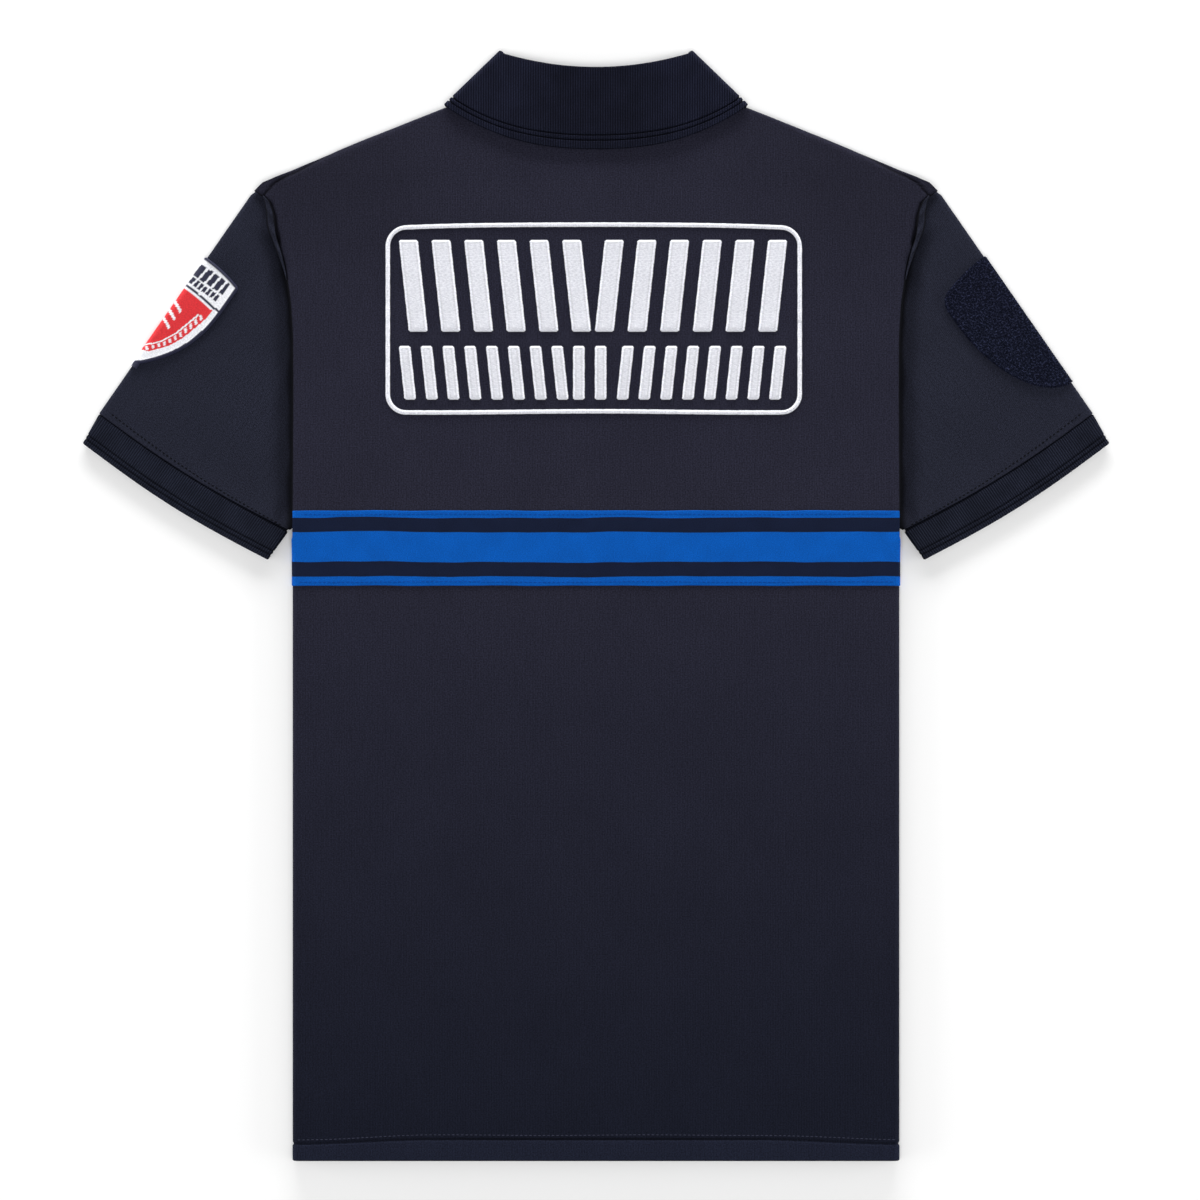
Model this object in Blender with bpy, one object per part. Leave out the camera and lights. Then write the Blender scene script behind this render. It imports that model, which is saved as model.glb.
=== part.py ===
"""Police polo shirt with short sleeves, laid flat with its back up.

Every piece that is cut and sewn is one closed solid: a cloth wall whose outer
face comes from a function of two lengths on the piece, and whose other face is
that face moved by the cloth's thickness.

Sizes are in millimetres and new_object() turns them into metres. +X is the
wearer's right side, +Y points to the collar and +Z points up. The origin is
under the middle of the shirt, on the surface that the shirt lies on.
"""

import math
from collections import namedtuple

import bmesh
import bpy
import numpy as np

MILLIMETRE = 0.001

# ---------------------------------------------------------------- cloth sizes
CLOTH = 1.1             # navy knit of the body and sleeves
COLLAR_RIB = 1.6        # knitted collar
CUFF_RIB = 1.4          # knitted cuffs
TAPE = 0.6              # woven stripe band
PATCH = 0.9             # sleeve patches
STITCHING = 0.7         # raised embroidery of the back marking
PLACKET = 0.9           # placket strips
GAP = 0.3               # room between two pieces that touch
HEM_EXTRA = 0.7         # second layer of cloth in the turned hem

# ----------------------------------------------------------------- the body
BACK_TOP = 6.1          # height of the back panel's outer face
HALF_WIDTH = 214.0      # half of the body's width below the armholes
SIDE_CURL = 4.0         # how far a panel rolls in over the side seam, in plan
HEM_Y = -391.4
HEM_DEPTH = 15.0
CHEST_Y = 84.0          # rows are straight below this height and bend above it
CHEST_SPAN = 100.0      # row numbers from the chest to the start of the seam roll
SEAM_OPEN_Y = 48.0      # the side seam is closed below, open to the sleeve above
SEAM_MIDDLE_Y = 41.0
SEAM_CLOSED_Y = 34.0
SHOULDER_CURL = 1.6     # roll over the shoulder seam beside the collar, where the panels lie close
NECK_HALF = 88.0
NECK_Y = 359.0          # height of the shoulder seam at the neck
BACK_NECK_DROP = 9.2
FRONT_NECK_DROP = 83.0
TIP_X = 241.0           # shoulder tip

EdgeRow = namedtuple("EdgeRow", "height half_width")
ARMHOLE_EDGE = (
    EdgeRow(52.0, 214.0),
    EdgeRow(150.0, 213.4),
    EdgeRow(190.0, 213.6),
    EdgeRow(213.0, 215.0),
    EdgeRow(241.0, 219.0),
    EdgeRow(263.5, 225.3),
    EdgeRow(280.0, 230.0),
    EdgeRow(288.1, 234.8),
    EdgeRow(292.6, TIP_X),
)

ShoulderRow = namedtuple("ShoulderRow", "reach height")
SHOULDER_LINE = (
    ShoulderRow(NECK_HALF, NECK_Y),
    ShoulderRow(107.7, 350.9),
    ShoulderRow(160.0, 330.3),
    ShoulderRow(208.4, 310.0),
    ShoulderRow(235.1, 298.5),
    ShoulderRow(TIP_X, 292.6),
)

NECK_ANGLES = (11.8, 26.0, 40.0, 55.0, 72.0, 90.0)      # degrees round the neckline
ROLL_ANGLES = (30.0, 60.0, 90.0)                        # degrees round a seam roll
PANEL_COLUMNS = (118.5, 149.0, 179.5, 210.0)
BODY_ROWS = (-391.4, -384.0, -376.4, -375.0, -290.0, -200.0, -100.0, 2.3)
CHEST_ROWS = (0.13, 0.21875, 0.35, 0.5, 0.62, 0.74, 0.86, 1.0)

# ------------------------------------------------------------- stripe band
BAND_LOW = 14.3
BAND_HIGH = 67.2
BAND_FADE = 12.0
BAND_ROWS = (BAND_LOW, SEAM_CLOSED_Y, SEAM_MIDDLE_Y, SEAM_OPEN_Y, BAND_HIGH)

# ------------------------------------------------------ placket and buttons
PLACKET_HALF = 15.0
PLACKET_LOW = 122.0
PLACKET_TOP = 276.0
NOTCH_HALF = 12.7
BUTTON_RADIUS = 5.75
BUTTON_THICKNESS = 1.8
BUTTON_HEIGHTS = (262.0, 205.0, 150.0)
LEAF_LIFT = 2.75        # the front panel rises this much over the collar's front
PLACKET_LIFT = BUTTON_THICKNESS + GAP + PLACKET + GAP

# ------------------------------------------------------------------ sleeves
SLEEVE_TOP = 4.6
SLEEVE_UNDER = PATCH + GAP
TUCKED_TOP = 4.7        # sleeve end between the two panels
TUCKED_UNDER = 2.3
TUCK_START = 16.0       # distance from the body's edge where the sleeve starts to rise
TUCK_END = 2.0
OUTER_START = (243.6, 290.0)    # straight outer fold, from shoulder tip to cuff seam
OUTER_END = (350.8, 135.6)
ROOT_TOP = (237.0, 294.5)
ROOT_LOW = (201.0, 62.0)
ROOT_INSET = 9.0        # how far the sleeve's end lies inside the body's edge
SEAM_INNER = (216.5, 53.5)
SEAM_BOW = 4.0          # the cuff seam and the cuff's edge bow outwards by this
OUTER_FOLD = 3.0        # plan depth of the rounded folds
INNER_FOLD = 2.0
SLEEVE_STATIONS = (0.0, 0.05, 0.1, 0.16, 0.23, 0.3, 0.38, 0.46, 0.54, 0.62, 0.7, 0.78, 0.86, 0.93, 1.0)
SLEEVE_ACROSS = 9
FOLD_STEPS = 4
FOLD_QUARTER = (OUTER_FOLD + (SLEEVE_TOP - SLEEVE_UNDER) / 2) / 2 * math.pi / 2    # cloth round a quarter fold

CUFF_OUTER = (362.6, 114.8)
CUFF_INNER = (231.6, 32.4)
CUFF_SEAM_INNER = (217.3, 52.3)
CUFF_DROP = 1.1         # the cuff's free edge comes down to the surface

# ------------------------------------------------------------------ patches
PatchSizes = namedtuple("PatchSizes", "start length half_width straight power root corner_drop")
SHIELD_PATCH = PatchSizes(start=54.0, length=92.8, half_width=31.5, straight=10.0,
                          power=2.9, root=1.0, corner_drop=5.0)
LOOP_PATCH = PatchSizes(start=53.0, length=108.0, half_width=44.0, straight=20.0,
                        power=2.0, root=0.5, corner_drop=8.5)
PATCH_ROWS = 10
PATCH_SHARES = (0.3, 0.65, 1.0)     # columns from the sleeve's rounded fold to the patch's edge
PATCH_TIP = 0.8         # flat width left beside the fold at the patch's lower point

# ------------------------------------------------------------------- collar
RING_HEIGHT = 4.425     # middle height of the knitted ring
STAND_OFFSET = 0.75
FOLD_RADIUS = 1.8
SIDE_OUT = (0.685, 0.729)
BACK_END = 0.45         # share of the half collar that lies on the back
FRONT_START = 0.55      # the rest lies on the front, after the turn at the side
COLLAR_SEAM_GAP = 0.4
FOLD_BACK = (0.0, 379.8)
FOLD_CORNER = (64.6, 389.2)
FOLD_FRONT_PULL = (50.0, 305.0)
FOLD_FRONT_END = (5.0, 290.0)
EDGE_BACK = (0.0, 321.7)
EDGE_CORNER = (104.4, 350.6)
EDGE_FRONT_PULL = (100.0, 285.0)
COLLAR_POINT = (74.0, 226.0)
EDGE_POWER = 2.4
FRONT_END_ANGLE = 3.93

# ------------------------------------------------------------ back marking
FRAME_CENTRE_X = -1.8
FRAME_HALF = 148.2
FRAME_LOW = 134.5
FRAME_HIGH = 266.3
FRAME_ARCH = 4.0
FRAME_LINE = 4.2
FRAME_CORNER = 14.0

BarRow = namedtuple("BarRow", "name low high left right count gap lean")
BAR_ROWS = (
    BarRow("upper", 193.6, 257.7, -138.7, 136.6, 6, 8.0, 7.0),
    BarRow("lower", 145.7, 183.0, -138.7, 136.6, 9, 5.0, 4.0),
)

Finish = namedtuple("Finish", "colour roughness metallic")
NAVY_KNIT = Finish((0.020, 0.020, 0.034), 0.85, 0.0)
NAVY_RIB = Finish((0.010, 0.011, 0.018), 0.9, 0.0)
BLUE_TAPE = Finish((0.006, 0.095, 0.42), 0.6, 0.0)
WHITE_THREAD = Finish((0.68, 0.67, 0.75), 0.55, 0.0)
RED_TWILL = Finish((0.65, 0.015, 0.02), 0.7, 0.0)
NAVY_LOOP = Finish((0.008, 0.009, 0.02), 0.95, 0.0)
NAVY_BUTTON = Finish((0.012, 0.013, 0.025), 0.35, 0.0)


# ------------------------------------------------------------------ helpers
def smooth(value, start, end):
    """0 at start, 1 at end, an S-curve between them; start may be the larger one."""
    share = np.clip((value - start) / (end - start), 0.0, 1.0)
    return share * share * (3.0 - 2.0 * share)


def stack(x, y, z):
    """One array of points from three arrays of coordinates."""
    return np.stack(np.broadcast_arrays(x, y, z), axis=-1).astype(float)


def table_line(rows, value):
    """Second column of a two-column table, read between its rows."""
    return np.interp(value, [row[0] for row in rows], [row[1] for row in rows])


def pulled_curve(start, pull, end, share):
    """A curve from start to end, bent towards the pull point."""
    share = share[..., None]
    return (np.array(start) * (1 - share) ** 2
            + np.array(pull) * 2 * share * (1 - share)
            + np.array(end) * share ** 2)


def face_normals(surface, first, second, step=0.01):
    """Unit normals of surface(first, second), from small steps kept inside its ends."""
    def slope(low, high, other, along_first):
        ends = (surface(high, other), surface(low, other)) if along_first else (
            surface(other, high), surface(other, low))
        return ends[0] - ends[1]

    first_low = np.maximum(first - step, first.min())
    first_high = np.minimum(first + step, first.max())
    second_low = np.maximum(second - step, second.min())
    second_high = np.minimum(second + step, second.max())
    normals = np.cross(slope(first_low, first_high, second, True),
                       slope(second_low, second_high, first, False))
    return normals / np.linalg.norm(normals, axis=-1, keepdims=True)


def new_object(name, body, finish):
    """Put a bmesh in the scene as one named, smooth-shaded object in metres."""
    bmesh.ops.recalc_face_normals(body, faces=body.faces)
    bmesh.ops.scale(body, vec=(MILLIMETRE,) * 3, verts=body.verts)
    mesh = bpy.data.meshes.new(name)
    body.to_mesh(mesh)
    body.free()
    mesh.shade_smooth()
    mesh.set_sharp_from_angle(angle=math.radians(35.0))
    piece = bpy.data.objects.new(name, mesh)
    piece.data.materials.append(make_material(name, finish))
    bpy.context.collection.objects.link(piece)
    return piece


def make_material(name, finish):
    """A plain material with the piece's colour, roughness and metallic value."""
    material = bpy.data.materials.new(name + "_finish")
    material.use_nodes = True
    shader = material.node_tree.nodes["Principled BSDF"]
    shader.inputs["Base Color"].default_value = (*finish.colour, 1.0)
    shader.inputs["Roughness"].default_value = finish.roughness
    shader.inputs["Metallic"].default_value = finish.metallic
    return material


def wall(name, outer, inner, finish, ring=False, hole=None):
    """Close two matching grids of points into one solid wall.

    ring joins the last column to the first one. hole(row, column) is true for
    cells that are left out. Every open side of a cell gets a wall across. Cells
    are split along the same diagonal on both faces, so that walls laid on each
    other keep their gap.
    """
    row_count, column_count = outer.shape[:2]
    cell_columns = column_count if ring else column_count - 1
    body = bmesh.new()
    corners = {}

    def vertex(side, row, column):
        key = (side, row, column % column_count)
        if key not in corners:
            corners[key] = body.verts.new((outer, inner)[side][row, column % column_count])
        return corners[key]

    cells = {(row, column) for row in range(row_count - 1) for column in range(cell_columns)
             if hole is None or not hole(row, column)}
    for row, column in cells:
        loop = [(row, column), (row, column + 1), (row + 1, column + 1), (row + 1, column)]
        for half in ((0, 1, 2), (0, 2, 3)):
            body.faces.new([vertex(0, *loop[corner]) for corner in half])
            body.faces.new([vertex(1, *loop[corner]) for corner in reversed(half)])
        before = (column - 1) % column_count if ring else column - 1
        after = (column + 1) % column_count if ring else column + 1
        neighbours = [(row - 1, column), (row, after), (row + 1, column), (row, before)]
        for side, neighbour in enumerate(neighbours):
            if neighbour not in cells:
                first, second = loop[side], loop[(side + 1) % 4]
                body.faces.new([vertex(0, *second), vertex(0, *first),
                                vertex(1, *first), vertex(1, *second)])
    return new_object(name, body, finish)


def grid(first_values, second_values):
    """Two matching arrays: the first value changes along rows, the second down them."""
    return np.meshgrid(np.array(first_values, float), np.array(second_values, float))


# --------------------------------------------------------- front and back
def front_height(x, y):
    """Height of the front panel's outer, lower face: it rises over what lies under it."""
    reach = np.abs(x)
    band = (TAPE + GAP) * (smooth(y, BAND_LOW - BAND_FADE, BAND_LOW)
                           * smooth(y, BAND_HIGH + BAND_FADE, BAND_HIGH))
    leaves = LEAF_LIFT * smooth(y, 195.0, 212.0) * smooth(reach, 155.0, 122.0)
    placket = PLACKET_LIFT * smooth(y, 92.0, 106.0) * smooth(reach, 40.0, 18.0)
    return np.maximum(np.maximum(band, leaves), placket)


def neckline(x, drop):
    """Height of the neckline at a distance from the middle."""
    return NECK_Y - drop * np.sqrt(np.clip(1.0 - (x / NECK_HALF) ** 2, 0.0, 1.0))


def panel_point(column, row, is_back):
    """Point on a panel's outer face.

    column is the distance from the middle of the hem, and its last SIDE_CURL
    millimetres roll over the side seam. row is the height up to CHEST_Y, and
    after CHEST_SPAN more its last SIDE_CURL millimetres roll over the shoulder.
    """
    side, across = np.sign(column), np.abs(column)
    side_angle = np.radians(90.0) * np.clip((across - HALF_WIDTH + SIDE_CURL) / SIDE_CURL, 0.0, 1.0)
    reach = np.minimum(across, HALF_WIDTH - SIDE_CURL) + SIDE_CURL * np.sin(side_angle)

    share = np.clip((row - CHEST_Y) / CHEST_SPAN, 0.0, 1.0)
    top_angle = np.radians(90.0) * np.clip((row - CHEST_Y - CHEST_SPAN) / SIDE_CURL, 0.0, 1.0)
    widening = np.maximum(reach - NECK_HALF, 0.0) / (HALF_WIDTH - NECK_HALF)

    def chest_row(top, curl):
        return CHEST_Y + (top - curl - CHEST_Y) * share + curl * np.sin(top_angle)

    edge_y = np.where(row < CHEST_Y, row, chest_row(SHOULDER_LINE[-1].height, SIDE_CURL))
    x = np.minimum(reach, NECK_HALF) + widening * (table_line(ARMHOLE_EDGE, edge_y) - NECK_HALF)
    top_x = np.minimum(reach, NECK_HALF) + widening * (TIP_X - NECK_HALF)
    drop = BACK_NECK_DROP if is_back else FRONT_NECK_DROP
    top = np.where(top_x < NECK_HALF, neckline(top_x, drop), table_line(SHOULDER_LINE, top_x))
    curl = SHOULDER_CURL + (SIDE_CURL - SHOULDER_CURL) * smooth(top_x, 122.0, 155.0)
    y = np.where(row < CHEST_Y, row, chest_row(top, curl))

    own = BACK_TOP if is_back else front_height(x, y)
    seam = (BACK_TOP + front_height(x, y)) / 2 + (GAP / 2 if is_back else -GAP / 2)
    side_roll = (1.0 - np.cos(side_angle)) * smooth(y, SEAM_OPEN_Y, SEAM_CLOSED_Y)
    shoulder_roll = (1.0 - np.cos(top_angle)) * smooth(x, NECK_HALF, 100.0) * smooth(x, 226.0, 212.0)
    roll = np.clip(side_roll + shoulder_roll, 0.0, 1.0)
    return stack(side * x, y, own + (seam - own) * roll)


def panel_columns():
    """Columns of both panels, from the left side to the right one."""
    half = [NOTCH_HALF] + [NECK_HALF * math.sin(math.radians(angle)) for angle in NECK_ANGLES]
    half += PANEL_COLUMNS
    half += [HALF_WIDTH - SIDE_CURL + SIDE_CURL * angle / 90.0 for angle in ROLL_ANGLES]
    return [-value for value in reversed(half)] + [0.0] + half


def panel_rows():
    """Rows of both panels, from the hem to the end of the shoulder's roll."""
    band_rows = BAND_ROWS + (BAND_HIGH + BAND_FADE, CHEST_Y)
    chest_rows = tuple(CHEST_Y + CHEST_SPAN * share for share in CHEST_ROWS)
    roll_rows = tuple(CHEST_Y + CHEST_SPAN + SIDE_CURL * angle / 90.0 for angle in ROLL_ANGLES)
    return BODY_ROWS + band_rows + chest_rows + roll_rows


def panel_face(columns, rows, is_back, offset):
    """Grid of points on a panel's outer face, moved out by offset (in, if negative)."""
    def surface(column, row):
        return panel_point(column, row, is_back)

    outwards = face_normals(surface, columns, rows) * (1.0 if is_back else -1.0)
    return surface(columns, rows) + outwards * np.asarray(offset)[..., None]


def build_panel(name, is_back):
    """One body panel; the front one has a notch for the placket."""
    column_values, row_values = panel_columns(), panel_rows()
    columns, rows = grid(column_values, row_values)
    hem = smooth(rows, HEM_Y + HEM_DEPTH + 1.4, HEM_Y + HEM_DEPTH)
    thickness = CLOTH + HEM_EXTRA * hem * smooth(np.abs(columns), 209.0, 200.0)
    notch_row = row_values.index(CHEST_Y) + 2

    def notch(row, column):
        inside = abs((column_values[column] + column_values[column + 1]) / 2) < NOTCH_HALF
        return inside and row >= notch_row

    outer = panel_face(columns, rows, is_back, np.zeros_like(rows))
    inner = panel_face(columns, rows, is_back, -thickness)
    return wall(name, outer, inner, NAVY_KNIT, hole=None if is_back else notch)


def build_band(name, is_back):
    """Woven stripe band on one panel, made from the panel's own points moved out."""
    columns, rows = grid(panel_columns(), BAND_ROWS)
    outer = panel_face(columns, rows, is_back, np.full(rows.shape, GAP + TAPE))
    inner = panel_face(columns, rows, is_back, np.full(rows.shape, GAP))
    return wall(name, outer, inner, BLUE_TAPE)


# ----------------------------------------------------------------- sleeves
def outer_axes():
    """Unit vectors along a sleeve's outer fold and into the sleeve, for the +X side."""
    along = np.subtract(OUTER_END, OUTER_START)
    along = along / np.linalg.norm(along)
    return along, np.array((along[1], -along[0]))


def sleeve_heights(x, y):
    """Lower and upper height of a sleeve, which ends between the two panels."""
    distance = x - table_line(ARMHOLE_EDGE, y)
    tucked = smooth(distance, TUCK_START, TUCK_END)
    return (SLEEVE_UNDER + (TUCKED_UNDER - SLEEVE_UNDER) * tucked,
            SLEEVE_TOP + (TUCKED_TOP - SLEEVE_TOP) * tucked)


def flat_loop(start, end, bow, heights, start_fold, end_fold, shrink, start_inwards):
    """Closed section of a flattened tube between two fold points in plan.

    bow(share) shifts the section sideways, heights(x, y) gives its two faces,
    and shrink moves the whole section inwards for the wall's other face.
    """
    direction = (end - start) / np.linalg.norm(end - start)
    slant = float(np.dot(direction, start_inwards))
    start = start + direction * shrink / slant
    end = end - direction * shrink
    start_fold, end_fold = max(start_fold - shrink, 0.3) / slant, max(end_fold - shrink, 0.3)
    length = np.linalg.norm(end - start)
    across = start_fold + (length - start_fold - end_fold) * np.linspace(0.0, 1.0, SLEEVE_ACROSS + 1) ** 1.2
    turns = np.radians(np.linspace(90.0, -90.0, 2 * FOLD_STEPS + 1))[1:-1]
    distances = np.concatenate((across, length - end_fold * (1 - np.cos(turns)),
                                across[::-1], start_fold * (1 - np.cos(turns))))
    tilt = np.concatenate((np.ones(len(across)), np.sin(turns),
                           -np.ones(len(across)), np.sin(turns[::-1])))
    plan = start + direction * distances[:, None]
    plan = plan + bow(distances / length)
    low, high = heights(plan[:, 0], plan[:, 1])
    middle, half = (low + high) / 2, (high - low) / 2 - shrink
    return stack(plan[:, 0], plan[:, 1], middle + half * tilt)


def sleeve_section(station, shrink):
    """Section of the +X sleeve at a station from the root (0) to the cuff seam (1)."""
    _, inwards = outer_axes()
    outer = pieced_line((ROOT_TOP, OUTER_START, OUTER_END), (0.0, SLEEVE_STATIONS[1], 1.0), station)
    inner = pieced_line((ROOT_LOW, SEAM_INNER), (0.0, 1.0), station)

    def bow(share):
        root_y = outer[1] + (inner[1] - outer[1]) * share
        chord = outer[0] + (inner[0] - outer[0]) * share
        root_x = table_line(ARMHOLE_EDGE, root_y) - ROOT_INSET
        root_shift = (root_x - chord) * smooth(share, 0.0, 0.12) * smooth(share, 1.0, 0.9)
        ends = np.sin(np.pi * share)
        seam_normal = np.array((OUTER_END[1] - SEAM_INNER[1], SEAM_INNER[0] - OUTER_END[0]))
        seam_normal = seam_normal / np.linalg.norm(seam_normal)
        root_part = stack(root_shift * (1 - station) ** 3, np.zeros_like(share), 0.0)[:, :2]
        return root_part + seam_normal * (SEAM_BOW * station * ends)[:, None]

    return flat_loop(outer, inner, bow, sleeve_heights, OUTER_FOLD, INNER_FOLD, shrink, inwards)


def pieced_line(points, places, value):
    """Point at a value along straight pieces between the given points."""
    points = np.array(points)
    return np.array([np.interp(value, places, points[:, 0]), np.interp(value, places, points[:, 1])])


def cuff_section(share, shrink):
    """Section of the +X cuff from its seam (0) to its free edge (1)."""
    _, inwards = outer_axes()
    along = np.subtract(CUFF_OUTER, OUTER_END)
    start = np.add(OUTER_END, along / np.linalg.norm(along) * GAP)
    outer = pieced_line((start, CUFF_OUTER), (0.0, 1.0), share)
    inner = pieced_line((CUFF_SEAM_INNER, CUFF_INNER), (0.0, 1.0), share)
    normal = np.array((outer[1] - inner[1], inner[0] - outer[0]))
    normal = normal / np.linalg.norm(normal)

    def bow(place):
        return normal * ((SEAM_BOW - GAP * (1 - share)) * np.sin(np.pi * place))[:, None]

    def heights(x, y):
        return (np.full_like(x, SLEEVE_UNDER - CUFF_DROP * share),
                np.full_like(y, SLEEVE_TOP - CUFF_DROP * share))

    return flat_loop(outer, inner, bow, heights, OUTER_FOLD, INNER_FOLD, shrink, inwards)


def mirrored(points, side):
    """The same points on the other side of the body where side is -1."""
    return points * np.array((side, 1.0, 1.0))


def build_tube(name, section, stations, thickness, finish, side):
    """A sleeve or a cuff: a flattened tube, open at both ends."""
    outer = np.stack([mirrored(section(station, 0.0), side) for station in stations])
    inner = np.stack([mirrored(section(station, thickness), side) for station in stations])
    return wall(name, outer, inner, finish, ring=True)


# ----------------------------------------------------------------- patches
def fold_point(along, girth):
    """Point on the +X sleeve's outer face near its outer fold.

    along is the distance from the shoulder end of the straight fold, and girth
    the distance from the fold round the cloth, positive on the back.
    """
    along_axis, inwards = outer_axes()
    angle = np.radians(90.0) * np.clip(np.abs(girth) / FOLD_QUARTER, 0.0, 1.0)
    depth = OUTER_FOLD * (1 - np.cos(angle)) + np.maximum(np.abs(girth) - FOLD_QUARTER, 0.0)
    plan = np.array(OUTER_START) + along_axis * along[..., None] + inwards * depth[..., None]
    low, high = sleeve_heights(plan[..., 0], plan[..., 1])
    height = (low + high) / 2 + np.sign(girth) * (high - low) / 2 * np.sin(angle)
    return stack(plan[..., 0], plan[..., 1], height)


def build_patch(name, sizes, finish, side):
    """A shield-shaped patch that wraps round a sleeve's outer fold."""
    fold_places = list(np.linspace(0.0, 1.0, FOLD_STEPS + 1))
    places = fold_places + [1.0 + share for share in PATCH_SHARES]
    places, rows = grid([-place for place in reversed(places[1:])] + places,
                        1.0 - np.linspace(1.0, 0.0, PATCH_ROWS + 1) ** 1.5)
    down = rows * sizes.length
    taper = np.clip((down - sizes.straight) / (sizes.length - sizes.straight), 0.0, 1.0) ** sizes.power
    flat_width = np.maximum(sizes.half_width * (1 - taper) ** sizes.root - FOLD_QUARTER, PATCH_TIP)
    reach = np.abs(places)
    girth = np.sign(places) * (np.minimum(reach, 1.0) * FOLD_QUARTER + np.maximum(reach - 1.0, 0.0) * flat_width)
    corner_drop = sizes.corner_drop * (girth / sizes.half_width) ** 2 * (1 - rows)
    along = sizes.start + down + corner_drop
    base = fold_point(along, girth)
    step = 0.01
    normals = np.cross(fold_point(along, girth + step) - fold_point(along, girth - step),
                       fold_point(along + step, girth) - fold_point(along - step, girth))
    normals = normals / np.linalg.norm(normals, axis=-1, keepdims=True)
    outwards = normals * np.sign(normals[PATCH_ROWS // 2, -1, 2])
    outer = mirrored(base + outwards * (GAP + PATCH), side)
    inner = mirrored(base + outwards * GAP, side)
    return wall(name, outer, inner, finish)


# ------------------------------------------------------------------ collar
def collar_lines(place):
    """Plan points of the neck seam, the fold and the free edge at a place on the ring.

    place runs from -1 (left front end) through 0 (middle of the back) to 1.
    """
    side, share = np.where(place < 0, -1.0, 1.0), np.abs(place)
    back = np.clip(share / BACK_END, 0.0, 1.0)
    front = np.clip((share - FRONT_START) / (1 - FRONT_START), 0.0, 1.0)
    on_back = share <= BACK_END

    angle = np.radians(np.where(on_back, 90.0 * back, 90.0 - (90.0 - FRONT_END_ANGLE) * front))
    drop = np.where(on_back, BACK_NECK_DROP, FRONT_NECK_DROP)
    seam = np.stack(((NECK_HALF - COLLAR_SEAM_GAP) * np.sin(angle),
                     NECK_Y + COLLAR_SEAM_GAP - drop * np.cos(angle)), axis=-1)
    fold_back = np.stack((FOLD_CORNER[0] * back,
                          FOLD_BACK[1] + (FOLD_CORNER[1] - FOLD_BACK[1]) * back ** 2), axis=-1)
    edge_back = np.stack((EDGE_CORNER[0] * back,
                          EDGE_BACK[1] + (EDGE_CORNER[1] - EDGE_BACK[1]) * back ** EDGE_POWER), axis=-1)
    fold = np.where(on_back[..., None], fold_back,
                    pulled_curve(FOLD_CORNER, FOLD_FRONT_PULL, FOLD_FRONT_END, front))
    edge = np.where(on_back[..., None], edge_back,
                    pulled_curve(EDGE_CORNER, EDGE_FRONT_PULL, COLLAR_POINT, front))
    flip = np.stack((side, np.ones_like(side)), axis=-1)
    return seam * flip, fold * flip, edge * flip


def collar_point(place, climb):
    """Point on the collar: climb is 0-1 up the stand, 1-2 over the fold, 2-3 down the fall."""
    seam, fold, edge = collar_lines(place)
    away = fold - (seam + edge) / 2
    away = away / np.linalg.norm(away, axis=-1, keepdims=True)
    turn = np.radians(180.0) * np.clip((climb - 1.0), 0.0, 1.0)
    crest = fold - away * FOLD_RADIUS
    up = np.clip(climb, 0.0, 1.0)[..., None]
    down = np.clip(climb - 2.0, 0.0, 1.0)[..., None]
    plan = np.where(climb[..., None] < 1.0, seam + (crest - seam) * up, crest + (edge - crest) * down)
    plan = plan + away * (FOLD_RADIUS * np.sin(turn))[..., None]
    height = STAND_OFFSET + FOLD_RADIUS * (1 - np.cos(turn))

    swing = np.clip((np.abs(place) - BACK_END) / (FRONT_START - BACK_END), 0.0, 1.0) * math.pi
    side = np.where(place < 0, -1.0, 1.0)
    return stack(plan[..., 0] + side * SIDE_OUT[0] * np.sin(swing) * height,
                 plan[..., 1] + SIDE_OUT[1] * np.sin(swing) * height,
                 RING_HEIGHT + np.cos(swing) * height)


def build_collar():
    """The knitted collar: stand, fold and fall in one ring that is open at the front."""
    half = [BACK_END * angle / 90.0 for angle in NECK_ANGLES]
    half += list(np.linspace(BACK_END, FRONT_START, 6)[1:])
    half += [FRONT_START + (1 - FRONT_START) * (90.0 - angle) / (90.0 - FRONT_END_ANGLE)
             for angle in (*reversed(NECK_ANGLES[:-1]), FRONT_END_ANGLE)]
    places, climbs = grid([-value for value in reversed(half)] + [0.0] + half,
                          (0.0, 1.0, 1.17, 1.33, 1.5, 1.67, 1.83, 2.0, 2.4, 3.0))
    outer = collar_point(places, climbs)
    inner = outer + face_normals(collar_point, places, climbs, step=0.002) * COLLAR_RIB
    return wall("collar", outer, inner, NAVY_RIB)


# ------------------------------------------------------ placket and buttons
def build_plate(name, corners, height, thickness, finish):
    """A flat plate: corners go round it in plan, and height is its upper face."""
    corners = np.array(corners, float).reshape(2, 2, 2)
    upper = stack(corners[..., 0], corners[..., 1], height)
    lower = stack(corners[..., 0], corners[..., 1], height - thickness)
    return wall(name, upper, lower, finish)


def build_placket():
    """The front strip, the strip behind it, and the buttons under both."""
    front_top = PLACKET_LIFT - GAP
    for name, half, low, high, thickness in (
            ("placket_front", PLACKET_HALF, PLACKET_LOW, front_top, PLACKET),
            ("placket_back", NOTCH_HALF - GAP, PLACKET_LOW + 4.5, PLACKET_LIFT + CLOTH, CLOTH)):
        corners = ((-half, low), (half, low), (-half, PLACKET_TOP), (half, PLACKET_TOP))
        build_plate(name, corners, high, thickness, NAVY_KNIT)
    for number, height in enumerate(BUTTON_HEIGHTS, start=1):
        body = bmesh.new()
        bmesh.ops.create_cone(body, cap_ends=True, segments=20, radius1=BUTTON_RADIUS,
                              radius2=BUTTON_RADIUS, depth=BUTTON_THICKNESS)
        bmesh.ops.translate(body, vec=(0.0, height, BUTTON_THICKNESS / 2), verts=body.verts)
        new_object(f"button_{number}", body, NAVY_BUTTON)


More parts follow.
